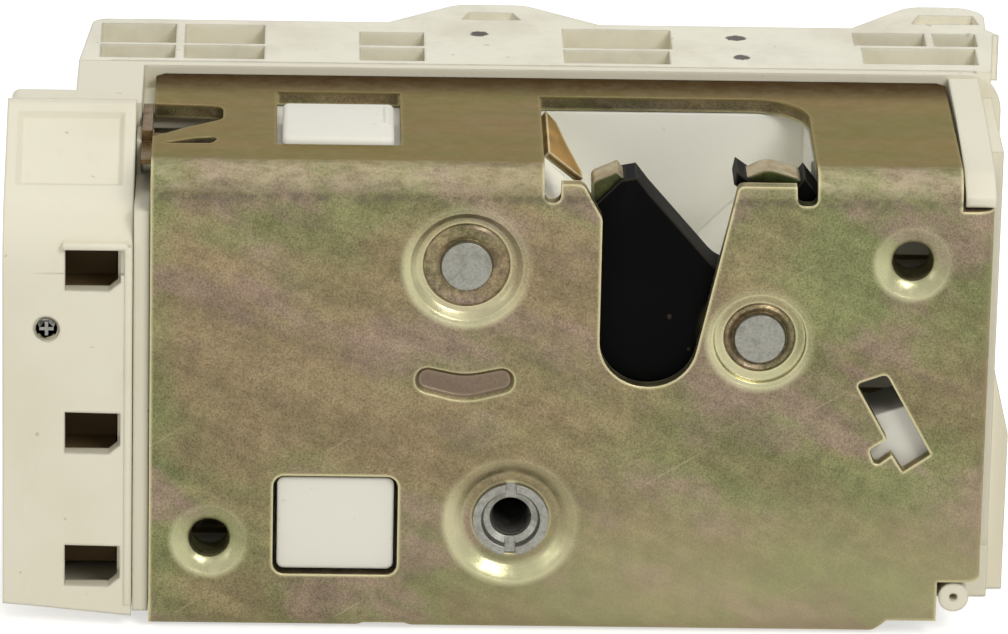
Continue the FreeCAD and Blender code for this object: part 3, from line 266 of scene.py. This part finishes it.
def make_moulded_group():
    """Moulded plastic: a faint skin, grime in patches and small specks."""
    g, entry, leave = new_group("moulded_skin", (
        ("Base", "Color", (0.760, 0.715, 0.560, 1)), ("Stain", "Color", (0.52, 0.43, 0.27, 1)),
        ("Grime", "Float", 0.3)), SKIN_OUTPUTS)
    speck_brown = (0.10, 0.08, 0.05, 1)
    at, grime = g.place(), entry.outputs["Grime"]
    patch = g.noise(at, 45.0, 4.0, 0.6)
    smear = g.noise(at, 160.0, 4.0, 0.7, (1.0, 1.0, 2.5))
    skin = g.noise(at, 2600.0, 2.0, 0.5)
    dots = g.noise(at, 620.0, 1.0, 0.4)
    stain = g.times(g.span(patch, 0.48, 0.75), grime)
    stain = g.plus(stain, g.times(g.span(smear, 0.56, 0.8), grime))
    color = g.lay(entry.outputs["Base"], entry.outputs["Stain"], stain, 0.5)
    color = g.lay(color, speck_brown, g.span(dots, 0.77, 0.80), grime)
    g.feed(leave.inputs["Color"], color)
    g.feed(leave.inputs["Roughness"], g.span(patch, 0.3, 0.7, 0.40, 0.55))
    g.feed(leave.inputs["Height"], skin)
    return g.tree


def make_turned_group():
    """Machined steel: dull grey with small dents and darker stains."""
    g, entry, leave = new_group("machined_skin", (
        ("Base", "Color", (0.30, 0.295, 0.26, 1)), ("Dark", "Color", (0.13, 0.125, 0.10, 1)),
        ("Wear", "Float", 0.5)), SKIN_OUTPUTS)
    at = g.place()
    cloud = g.noise(at, 520.0, 4.0, 0.7)
    grain = g.noise(at, 2600.0, 3.0, 0.6)
    color = g.lay(entry.outputs["Base"], entry.outputs["Dark"], g.span(cloud, 0.45, 0.75),
                  entry.outputs["Wear"])
    color = g.mix(g.span(grain, 0.40, 0.7, 0.0, 0.45), color, entry.outputs["Dark"])
    g.feed(leave.inputs["Color"], color)
    g.feed(leave.inputs["Roughness"], g.span(cloud, 0.3, 0.7, 0.3, 0.5))
    g.feed(leave.inputs["Height"], grain)
    return g.tree


ZINC = make_zinc_group()
EDGE = make_edge_group()
MOULDED = make_moulded_group()
MACHINED = make_turned_group()


# Materials

SKIN = "skin"
ZINC_SHINE = (0.93, 0.86, 0.68, 1)
RELIEF_DEPTH = 0.06 * MM
# Width and colour of the painted highlight along the rounded edges of the zinc parts and the plate.
ZINC_EDGE_HIGHLIGHT = (0.5, (0.74, 0.66, 0.38, 1))
PLATE_EDGE_HIGHLIGHT = (0.8, (0.66, 0.60, 0.35, 1))


def finish_material(name, group, values, metallic, bump, rounding, edge_wear_and_highlight=None, shine=0.5):
    """A material whose colour, roughness and relief come from one of the groups.

    edge_wear_and_highlight is (width, colour) of brighter outer edges, partly wear and partly a
    painted highlight, and shine is the specular level.
    """
    material = bpy.data.materials.new(name)
    material.use_nodes = True
    g = Graph(material.node_tree)
    shader = g.tree.nodes["Principled BSDF"]
    effect = g.node("Group", node_tree=group, name=SKIN)
    for label, value in values.items():
        effect.inputs[label].default_value = value
    color = effect.outputs["Color"]
    # Outer edges take a brighter colour, partly wear and partly a painted highlight where rounded
    # edges catch the light.
    if edge_wear_and_highlight is not None:
        edge_mask = g.node("Group", node_tree=EDGE)
        edge_mask.inputs["Width"].default_value = edge_wear_and_highlight[0] * MM
        color = g.mix(edge_mask.outputs["Mask"], color, edge_wear_and_highlight[1])
    g.feed(shader.inputs["Base Color"], color)
    g.feed(shader.inputs["Roughness"], effect.outputs["Roughness"])
    shader.inputs["Metallic"].default_value = metallic
    shader.inputs["Specular IOR Level"].default_value = shine
    if group == ZINC:
        shader.inputs["Specular Tint"].default_value = ZINC_SHINE
    edge = g.node("Bevel", samples=4)
    edge.inputs["Radius"].default_value = rounding * MM
    relief = g.node("Bump")
    relief.inputs["Strength"].default_value = bump
    relief.inputs["Distance"].default_value = RELIEF_DEPTH
    g.feed(relief.inputs["Height"], effect.outputs["Height"])
    g.feed(relief.inputs["Normal"], edge.outputs["Normal"])
    g.feed(shader.inputs["Normal"], relief.outputs["Normal"])
    return material


def opened(material):
    """A finished material's tree, its shader and the colour that feeds the shader."""
    g = Graph(material.node_tree)
    shader = g.tree.nodes["Principled BSDF"]
    return g, shader, shader.inputs["Base Color"].links[0].from_socket


def dish_highlight_mask(g, at, place, reach):
    """A mask for a painted highlight over the slope of a dish, strongest on the side that faces the
    light.
    """
    away = g.distance(at, place)
    x, _, z = g.axes(at)
    wall = g.times(g.step(away, reach - 2.6, reach - 1.4), g.step(away, reach + 0.9, reach - 0.2))
    middle = place[1] + place[0] / 2
    lit = g.step(g.plus(z, g.times(x, 0.5)), middle + 3, middle - 4, 0.25, 1.0)
    return g.times(wall, lit)


def make_plate_zinc():
    """The plate's finish: green at the lower right, smooth on the flange and painted dark there as
    a reflection, pale on the bend as a painted highlight, with painted highlights on the dish
    walls.
    """
    bare_low, rear_reflection_brown = (0.36, 0.315, 0.18, 1), (0.040, 0.014, 0.001, 1)
    flange_reflection_brown, flange_reflection_olive = (0.190, 0.128, 0.042, 1), (0.150, 0.122, 0.034, 1)
    bend_highlight, dirt_brown = (0.42, 0.36, 0.24, 1), (0.10, 0.085, 0.06, 1)
    kidney_brown, dish_highlight = (0.15, 0.10, 0.085, 1), (0.62, 0.60, 0.36, 1)
    material = finish_material("plate_zinc", ZINC, {}, 0.9, 0.25, 0.3, PLATE_EDGE_HIGHLIGHT)
    g, shader, color = opened(material)
    effect = g.tree.nodes[SKIN]
    at = g.place()
    x, y, z = g.axes(at)
    flange = g.times(g.step(z, PLATE_TOP - 0.6, PLATE_TOP - 0.1), g.step(y, 0, 2.2))
    low = g.times(g.step(z, 10, -10), g.step(x, -25, 15))
    side = g.plus(g.step(x, -39, -43, 0.0, 0.5), g.step(x, 0, 45, 0.0, 0.3))
    g.feed(effect.inputs["Green"], g.plus(g.times(low, 0.3), side))
    calm = g.most(flange, g.times(low, 0.6))
    g.feed(effect.inputs["Smooth"], g.times(calm, 0.85))
    color = g.lay(color, bare_low, low, 0.4)

    # The flange's top is painted dark in streaks: brushed streaks, with a painted dark reflection
    # of the space behind the lock.
    streak = g.noise(at, 260.0, 3.0, 0.6, (8.0, 1.0, 1.0))
    streaks_and_reflection = g.mix(g.span(streak, 0.35, 0.65), flange_reflection_brown, flange_reflection_olive)
    color = g.lay(color, streaks_and_reflection, flange, 0.8)
    # Towards its back the flange turns near black, a painted reflection of the housing behind it.
    color = g.lay(color, rear_reflection_brown, flange, g.step(y, 24, 30.5))

    # The bend is painted pale in patches, a painted highlight along the bend.
    bend = g.times(g.step(z, 41.6, 42.6), g.step(y, 1.8, 0.8))
    patchy = g.span(g.noise(at, 900.0, 3.0, 0.7, (2.0, 1.0, 1.0)), 0.3, 0.7, 0.05, 0.5)
    color = g.lay(color, bend_highlight, bend, patchy)
    under_bend = g.times(g.step(z, 40.2, 41.2), g.step(z, 42.0, 41.4))
    crumbs = g.span(g.noise(at, 500.0, 3.0, 0.7), 0.35, 0.6, 0.0, 0.6)
    color = g.lay(color, dirt_brown, under_bend, crumbs)

    kidney = g.times(g.step(g.distance(at, KIDNEY_AT, (1.9, 1.0, 1.0)), 4.2, 3.6),
                     g.step(y, FACE + 0.35, FACE + 0.6))
    color = g.lay(color, kidney_brown, kidney, 0.7)

    dish_highlight_masks = [dish_highlight_mask(g, at, place, reach) for place, reach in DISHES]
    dish_highlights = dish_highlight_masks[0]
    for wall in dish_highlight_masks[1:]:
        dish_highlights = g.most(dish_highlights, wall)
    # The dish walls are painted brighter on their lit side, a painted highlight.
    color = g.lay(color, dish_highlight, dish_highlights, 0.55)
    g.feed(shader.inputs["Base Color"], color)
    rough = g.minus(shader.inputs["Roughness"].links[0].from_socket, g.times(dish_highlights, 0.12))
    bent = g.times(g.step(z, 41.2, 42.4), g.step(y, 2.0, 1.0))
    g.feed(shader.inputs["Roughness"], g.plus(rough, g.times(bent, 0.16)))
    return material


def make_riveted_steel():
    """A grey swaged head inside a ring that kept the plate's yellow film."""
    material = finish_material("riveted_steel", MACHINED, {"Base": (0.28, 0.275, 0.235, 1)},
                               0.9, 0.3, 0.2)
    g, shader, color = opened(material)
    at = g.place()
    head = g.math("MINIMUM", g.distance(at, PAWL_RIVET_AT), g.distance(at, CLAW_RIVET_AT))
    turning = g.span(g.noise(at, 1500.0, 2.0, 0.5), 0.4, 0.6, 0.75, 1.1)
    film = g.shade(g.node("Group", node_tree=ZINC).outputs["Color"], turning)
    g.feed(shader.inputs["Base Color"], g.mix(g.step(head, 3.05, 3.25), color, film))
    return material


def make_claw_steel():
    """The claw's steel: a punched face painted dark green, a painted shade for a face that lies in
    shadow, with tan cut edges.
    """
    cut_tan, cut_pale = (0.30, 0.24, 0.15, 1), (0.42, 0.36, 0.25, 1)
    # The face's films are set near black, a painted shade.
    material = finish_material("claw_steel", ZINC, {
        "Tan": (0.06, 0.065, 0.022, 1), "Olive": (0.03, 0.06, 0.010, 1),
        "Pink": (0.07, 0.055, 0.025, 1)}, 0.8, 0.4, 0.2, (0.7, (0.34, 0.29, 0.19, 1)))
    g, shader, color = opened(material)
    facing = g.axes(g.node("NewGeometry").outputs["Normal"])[1]
    cut = g.span(g.math("ABSOLUTE", facing), 0.8, 0.4)
    edge = g.span(g.noise(g.place(), 700.0, 3.0, 0.6), 0.35, 0.65)
    g.feed(shader.inputs["Base Color"], g.mix(cut, color, g.mix(edge, cut_tan, cut_pale)))
    return material


def make_housing_ivory():
    """The rear housing's ivory, greyer on top, with three small gate marks."""
    top_grey, gate_brown = (0.50, 0.46, 0.36, 1), (0.035, 0.024, 0.012, 1)
    gate_depth = 1.2
    material = finish_material("housing_ivory", MOULDED, {"Base": (0.82, 0.78, 0.63, 1)},
                               0.0, 0.08, 0.5)
    g, shader, color = opened(material)
    at = g.place()
    x, y, z = g.axes(at)
    grime = g.span(g.noise(at, 90.0, 4.0, 0.7), 0.4, 0.7, 0.0, 0.3)
    color = g.lay(color, top_grey, g.step(z, 43.2, 43.6), grime)
    ragged = g.noise(at, 1500.0, 2.0, 0.6)
    for mark_x, mark_y, wide in GATE_MARKS:
        along = g.math("DIVIDE", g.minus(x, mark_x * MM), wide * MM)
        deep = g.math("DIVIDE", g.minus(y, mark_y * MM), gate_depth * MM)
        away = g.plus(g.times(along, along), g.times(deep, deep))
        away = g.plus(away, g.times(ragged, 1.2))
        color = g.lay(color, gate_brown, g.span(away, 1.5, 1.1), g.step(z, 42.0, 42.5))
    g.feed(shader.inputs["Base Color"], color)
    return material


plate_zinc = make_plate_zinc()
inner_zinc = finish_material("inner_zinc", ZINC, {"Smooth": 0.4}, 0.9, 0.2, 0.2, ZINC_EDGE_HIGHLIGHT)
claw_steel = make_claw_steel()
riveted_steel = make_riveted_steel()
housing_ivory = make_housing_ivory()
rivet_steel = finish_material("rivet_steel", MACHINED, {}, 0.9, 0.3, 0.2)
spring_steel = finish_material("spring_steel", MACHINED, {
    "Base": (0.20, 0.13, 0.055, 1), "Dark": (0.06, 0.035, 0.012, 1)}, 0.9, 0.2, 0.15)
ivory = finish_material("ivory", MOULDED, {}, 0.0, 0.08, 0.5)
# The striker cup's white is painted lighter than the carrier's, a painted lift against the shade
# inside its channel.
lit_cup_white = finish_material("lit_cup_white", MOULDED, {
    "Base": (0.93, 0.91, 0.80, 1), "Stain": (0.5, 0.46, 0.36, 1), "Grime": 0.10},
    0.0, 0.04, 0.5)
carrier_white = finish_material("carrier_white", MOULDED, {
    "Base": (0.79, 0.765, 0.665, 1), "Stain": (0.5, 0.46, 0.36, 1), "Grime": 0.10},
    0.0, 0.04, 0.5)
claw_black = finish_material("claw_black", MOULDED, {
    "Base": (0.0022, 0.0022, 0.0022, 1), "Stain": (0.012, 0.012, 0.012, 1), "Grime": 0.3},
    0.0, 0.1, 0.4, (0.6, (0.045, 0.038, 0.028, 1)), 0.03)
dark_plastic = finish_material("dark_plastic", MOULDED, {
    "Base": (0.20, 0.135, 0.062, 1), "Stain": (0.09, 0.06, 0.03, 1), "Grime": 0.5},
    0.0, 0.1, 0.2, shine=0.2)
rubber_black = finish_material("rubber_black", MOULDED, {
    "Base": (0.015, 0.015, 0.015, 1), "Stain": (0.04, 0.035, 0.03, 1)},
    0.0, 0.3, 0.3, shine=0.2)
guide_zinc = finish_material("guide_zinc", ZINC, {
    "Tan": (0.42, 0.24, 0.06, 1), "Olive": (0.46, 0.33, 0.12, 1), "Pink": (0.50, 0.27, 0.08, 1),
    "Smooth": 0.6}, 0.9, 0.2, 0.2, (0.8, (0.86, 0.78, 0.50, 1)))
worm_brass = finish_material("worm_brass", MACHINED, {
    "Base": (0.60, 0.42, 0.16, 1), "Dark": (0.35, 0.22, 0.08, 1)}, 1.0, 0.1, 0.1)

FINISHES = {
    "zinc_steel": inner_zinc, "plain_steel": rivet_steel, "spring_steel": spring_steel,
    "black_plastic": claw_black, "white_plastic": carrier_white, "ivory_plastic": ivory,
    "grey_plastic": dark_plastic, "rubber": rubber_black, "brass": worm_brass,
}
OWN_FINISH = {
    "front_plate": plate_zinc, "claw_core": claw_steel, "pawl_rivet": riveted_steel,
    "claw_rivet": riveted_steel, "rear_housing": housing_ivory, "striker_cup": lit_cup_white,
}


# Mesh helpers

def spot(x, depth, z):
    """The point at a place and a depth."""
    return Vector((x, depth, z)) * MM + Vector((0, FACE * MM, 0))


def points_in(geometry):
    return [part for part in geometry if isinstance(part, bmesh.types.BMVert)]


def edges_in(geometry):
    return [part for part in geometry if isinstance(part, bmesh.types.BMEdge)]


def smooth_faces(bm):
    for face in bm.faces:
        face.smooth = True


def put_in_scene(name, bm, finish):
    """An object with the finished shape and its material."""
    mesh = bpy.data.meshes.new(name)
    bm.to_mesh(mesh)
    bm.free()
    mesh.materials.append(finish)
    made = bpy.data.objects.new(name, mesh)
    bpy.context.scene.collection.objects.link(made)
    return made


# CAD nodes with smooth skins

def shape_cover(bm):
    """Raises the side cover's top, leans its outer side and dishes its slope."""
    for vert in bm.verts:
        if vert.co.z > 40 * MM:
            vert.co.z += 0.5 * MM
        if vert.co.x < -61 * MM:
            vert.co.x -= 0.3 * MM
    slope = [face for face in bm.faces if face.normal.y < -0.15 and face.normal.z > 0.15
             and face.calc_area() > 15 * MM * MM and face.calc_center_median().x < -46 * MM
             and face.calc_center_median().z > 30 * MM]
    margin, wall, sunk = 1.4 * MM, 0.5 * MM, -0.5 * MM
    bmesh.ops.inset_region(bm, faces=slope, thickness=margin, use_even_offset=True)
    bmesh.ops.inset_region(bm, faces=slope, thickness=wall, depth=sunk, use_even_offset=True)


def sunk_cross(bm, rim, at, arm, half, deep, facing):
    """Fills a screw head's end between its rim and a sunk cross; it faces -1 front or 1 back."""
    cross = [bm.verts.new(at + Vector((x, 0, z)) * MM) for x, z in (
        (half, half), (half, arm), (-half, arm), (-half, half), (-arm, half), (-arm, -half),
        (-half, -half), (-half, -arm), (half, -arm), (half, -half), (arm, -half), (arm, half))]
    loop = [bm.edges.new(pair) for pair in zip(cross, cross[1:] + cross[:1])]
    bmesh.ops.triangle_fill(bm, edges=rim + loop, use_beauty=True, normal=(0, facing, 0))
    sunk = bmesh.ops.extrude_edge_only(bm, edges=loop)["geom"]
    bmesh.ops.translate(bm, verts=points_in(sunk), vec=(0, -facing * deep * MM, 0))
    bmesh.ops.contextual_create(bm, geom=edges_in(sunk))


def cross_the_screws(bm):
    """Sinks a cross into the heads of the housing screws."""
    depth = max(vert.co.y for vert in bm.verts)
    for end in [face for face in bm.faces if face.normal.y > 0.99
                and face.calc_center_median().y > depth - 0.05 * MM]:
        rim, at = list(end.edges), end.calc_center_median()
        bmesh.ops.delete(bm, geom=[end], context="FACES_ONLY")
        sunk_cross(bm, rim, at, arm=1.5, half=0.36, deep=0.9, facing=1)
    bmesh.ops.recalc_face_normals(bm, faces=bm.faces)


RESHAPED = {"side_cover": shape_cover, "housing_screws": cross_the_screws}


def smooth_skin(node, finish):
    """A copy of a CAD node with joined corners and smooth curved faces, shown in its place."""
    bm = bmesh.new()
    bm.from_mesh(frame["nodes"][node].data)
    bmesh.ops.remove_doubles(bm, verts=bm.verts, dist=JOIN * MM)
    bmesh.ops.dissolve_limit(bm, angle_limit=FLAT, verts=bm.verts, edges=bm.edges)
    if node in RESHAPED:
        RESHAPED[node](bm)
    for face in bm.faces:
        face.smooth = True
        face.material_index = 0
    for edge in bm.edges:
        edge.smooth = len(edge.link_faces) == 2 and edge.calc_face_angle() < CREASE
    skin = put_in_scene(node + "_skin", bm, finish)
    shading = skin.modifiers.new("face_normals", "WEIGHTED_NORMAL")
    shading.keep_sharp = True
    shading.weight = 100
    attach(skin, BODY_OF[node])
    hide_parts(node)


for node in sorted(frame["nodes"]):
    smooth_skin(node, OWN_FINISH.get(node, FINISHES[SLOT_OF[node]]))


# Added pieces

def add_piece(name, bm, finish, body):
    """Turns a finished bmesh into a piece that rides on a body."""
    bmesh.ops.recalc_face_normals(bm, faces=bm.faces)
    piece = put_in_scene(name, bm, finish)
    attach(piece, body)
    return piece


def inner_thread(name, place, front, back, finish):
    """The ridge of a screw thread on the wall of a bore, between two depths."""
    bm = bmesh.new()
    pitch, wall, crest, steps_a_turn = 1.0, 2.56, 2.2, 24
    half = 0.42 * pitch
    x, z = place
    profile = [bm.verts.new(spot(x + reach, front + along, z))
               for reach, along in ((wall, 0), (crest, half), (wall, 2 * half))]
    edges = [bm.edges.new(pair) for pair in zip(profile, profile[1:])]
    steps = round(steps_a_turn * (back - front - 2 * half) / pitch)
    bmesh.ops.spin(bm, geom=profile + edges, cent=spot(x, 0, z), axis=(0, 1, 0),
                   dvec=(0, pitch * MM / steps_a_turn, 0),
                   angle=math.tau * steps / steps_a_turn, steps=steps)
    smooth_faces(bm)
    add_piece(name, bm, finish, "case")


def soft_block(bm, low, high, round_by):
    """A box with round edges between two corners, given as across, depth and up."""
    made = bmesh.ops.create_cube(bm, size=1.0)["verts"]
    low, high = Vector(low), Vector(high)
    bmesh.ops.scale(bm, verts=made, vec=(high - low) * MM)
    bmesh.ops.translate(bm, verts=made, vec=spot(*(low + high) / 2))
    edges = list({edge for vert in made for edge in vert.link_edges})
    bmesh.ops.bevel(bm, geom=edges, offset=round_by * MM, segments=3, profile=0.5,
                    material=-1, affect="EDGES")


def make_window_block():
    """The white carrier's block that stands up in the flange's window, with a hook at its right."""
    bm = bmesh.new()
    soft_block(bm, (-28.2, 8.8, 42.6), (-14.7, 22.2, 45.75), 0.7)
    soft_block(bm, (-15.9, 14.2, 45.0), (-15.3, 20.6, 45.9), 0.25)
    soft_block(bm, (-17.2, 13.8, 45.0), (-15.4, 14.5, 45.9), 0.25)
    smooth_faces(bm)
    add_piece("window_block", bm, carrier_white, "case")


def make_guide_tab():
    """The bright cut sheet that guides the striker in at the left of the mouth."""
    bm = bmesh.new()
    thick = 0.9 * MM
    outline = ((3.9, 10.4, 43.9), (8.1, 10.4, 40.5), (8.0, 12.6, 40.6), (6.4, 18.5, 41.9),
               (5.2, 24.0, 42.9), (3.9, 25.5, 43.9))
    face = bm.faces.new([bm.verts.new(spot(*corner)) for corner in outline])
    face.normal_update()
    pushed = bmesh.ops.extrude_face_region(bm, geom=[face])["geom"]
    bmesh.ops.translate(bm, verts=points_in(pushed), vec=face.normal * thick)
    add_piece("guide_tab", bm, guide_zinc, "case")


def make_cover_rib():
    """The raised strip on the side cover, right of its windows."""
    bm = bmesh.new()
    soft_block(bm, (-46.9, -0.1, -11.6), (-45.95, 1.4, 34.5), 0.25)
    soft_block(bm, (-54.4, 0.0, 34.1), (-46.4, 1.4, 34.9), 0.3)
    smooth_faces(bm)
    add_piece("cover_rib", bm, ivory, "case")


def make_cover_screw():
    """The small screw in the side cover, with a cross recess."""
    bm = bmesh.new()
    x, z = COVER_SCREW_AT
    at = spot(x, 0.7, z)
    turned = Matrix.Translation(at) @ Matrix.Rotation(math.radians(90), 4, "X")
    rim = bmesh.ops.create_circle(bm, segments=32, radius=1.3 * MM, matrix=turned)["verts"]
    ring = list({edge for vert in rim for edge in vert.link_edges})
    sunk_cross(bm, ring, at, arm=0.85, half=0.2, deep=0.6, facing=-1)
    skirt = bmesh.ops.extrude_edge_only(bm, edges=ring)["geom"]
    bmesh.ops.translate(bm, verts=points_in(skirt), vec=(0, 1.0 * MM, 0))
    bmesh.ops.contextual_create(bm, geom=edges_in(skirt))
    screw = add_piece("cover_screw_head", bm, inner_zinc, "case")
    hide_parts("cover_screw")


def raised_ring(bm, place, inner, outer, high):
    """A flat ring that stands up from the housing's back, round a place."""
    x, z = place
    edge = 0.2
    profile = [bm.verts.new(spot(x + reach, HOUSING_BACK + up, z)) for reach, up in (
        (inner, -edge), (inner, high - edge), (inner + edge, high),
        (outer - edge, high), (outer, high - edge), (outer, -edge))]
    edges = [bm.edges.new(pair) for pair in zip(profile, profile[1:] + profile[:1])]
    bmesh.ops.spin(bm, geom=profile + edges, cent=spot(x, 0, z), axis=(0, 1, 0),
                   angle=math.tau, steps=40, use_merge=True)


def make_back_rings():
    """Moulded rings round the screws, the key cam and the lock lever's spindle at the back."""
    bm = bmesh.new()
    for place in HOUSING_SCREWS_AT:
        raised_ring(bm, place, 3.0, 4.2, 0.7)
    raised_ring(bm, KEY_CAM_AT, 8.3, 9.8, 1.2)
    raised_ring(bm, LOCK_SPINDLE_AT, 3.3, 4.7, 1.0)
    add_piece("back_rings", bm, housing_ivory, "case")


def make_worm_thread():
    """The helical thread of the drive worm, wound round its axis below the gear."""
    bm = bmesh.new()
    gear_x, depth, up = 15.0, 41.6, 2.0
    pitch, turns, root, crest = 2.513, 3.6, 1.2, 2.9
    start = gear_x - pitch / 2
    profile = [bm.verts.new(spot(start + along, depth, up - reach))
               for along, reach in ((-0.75, root), (-0.3, crest), (0.3, crest), (0.75, root))]
    edges = [bm.edges.new(pair) for pair in zip(profile, profile[1:])]
    steps = round(24 * turns)
    bmesh.ops.spin(bm, geom=profile + edges, cent=spot(0, depth, up), axis=(1, 0, 0),
                   dvec=(pitch * turns / steps * MM, 0, 0), angle=-math.tau * turns, steps=steps)
    add_piece("worm_thread", bm, worm_brass, "worm")


inner_thread("bush_thread", BUSH_AT, 1.8, 14.4, rivet_steel)
inner_thread("low_fixing_thread", LOW_FIXING_AT, 1.0, 5.3, inner_zinc)
inner_thread("high_fixing_thread", HIGH_FIXING_AT, 1.0, 5.3, inner_zinc)
make_window_block()
make_guide_tab()
make_cover_rib()
make_cover_screw()
make_worm_thread()
make_back_rings()


# Floor, light and camera

def seen_directly(g):
    """1 where the camera, a glossy ray or a transmitted ray looks, and 0 for light."""
    path = g.node("LightPath")
    seen = g.most(path.outputs["Is Camera Ray"], path.outputs["Is Glossy Ray"])
    return g.most(seen, path.outputs["Is Transmission Ray"])


def make_floor():
    material = bpy.data.materials.new("floor_white")
    material.use_nodes = True
    g = Graph(material.node_tree)
    shader = g.tree.nodes["Principled BSDF"]
    shader.inputs["Base Color"].default_value = (0.86, 0.86, 0.85, 1)
    shader.inputs["Roughness"].default_value = 0.9
    shader.inputs["Emission Color"].default_value = (1, 1, 1, 1)
    g.feed(shader.inputs["Emission Strength"],
           g.span(seen_directly(g), 0.0, 1.0, 0.0, FLOOR_GLOW, False))
    bm = bmesh.new()
    bmesh.ops.create_grid(bm, x_segments=1, y_segments=1, size=3.0)
    bmesh.ops.translate(bm, verts=bm.verts, vec=(0, 0, cad_low.z - FLOOR_GAP * MM))
    floor = put_in_scene("floor", bm, material)


def soft_light(name, at, size, power):
    """A round lamp that points at the origin; its place and size are in metres."""
    lamp = bpy.data.lights.new(name, "AREA")
    lamp.shape = "DISK"
    lamp.size = size
    lamp.energy = power
    light = bpy.data.objects.new(name, lamp)
    light.location = at
    light.rotation_euler = (-Vector(at)).to_track_quat("-Z", "Y").to_euler()
    bpy.context.scene.collection.objects.link(light)


def make_camera():
    """A camera that looks down by the rise, in from the turn's side and tilted by the roll."""
    ahead = Vector((math.sin(TURN) * math.cos(RISE), math.cos(TURN) * math.cos(RISE),
                    -math.sin(RISE)))
    level = Vector((math.cos(TURN), -math.sin(TURN), 0))
    upright = level.cross(ahead)
    right = level * math.cos(ROLL) + upright * math.sin(ROLL)
    up = upright * math.cos(ROLL) - level * math.sin(ROLL)
    camera = bpy.data.objects.new("camera", bpy.data.cameras.new("camera"))
    camera.data.sensor_width = SENSOR
    camera.data.lens = SENSOR * LENS_PIXELS / VIEW_PIXELS
    camera.data.clip_start = 0.1
    camera.data.clip_end = 20.0
    turned = Matrix((right, up, -ahead)).transposed().to_4x4()
    turned.translation = Vector(CAMERA_AT) * MM + up * CAMERA_LIFT * MM
    camera.matrix_world = turned
    bpy.context.scene.collection.objects.link(camera)
    bpy.context.scene.camera = camera


def make_world():
    """White where the camera, glossy and transmitted rays see it, and plain grey as light."""
    world = bpy.data.worlds.new("studio")
    bpy.context.scene.world = world
    world.use_nodes = True
    g = Graph(world.node_tree)
    backdrop = world.node_tree.nodes["Background"]
    backdrop.inputs["Color"].default_value = (1, 1, 1, 1)
    g.feed(backdrop.inputs["Strength"],
           g.span(seen_directly(g), 0.0, 1.0, WORLD_LIGHT, 1.0, False))


make_floor()
make_world()
for lamp_setting in LAMPS:
    soft_light(*lamp_setting)
make_camera()
bpy.context.scene.view_settings.view_transform = "Standard"
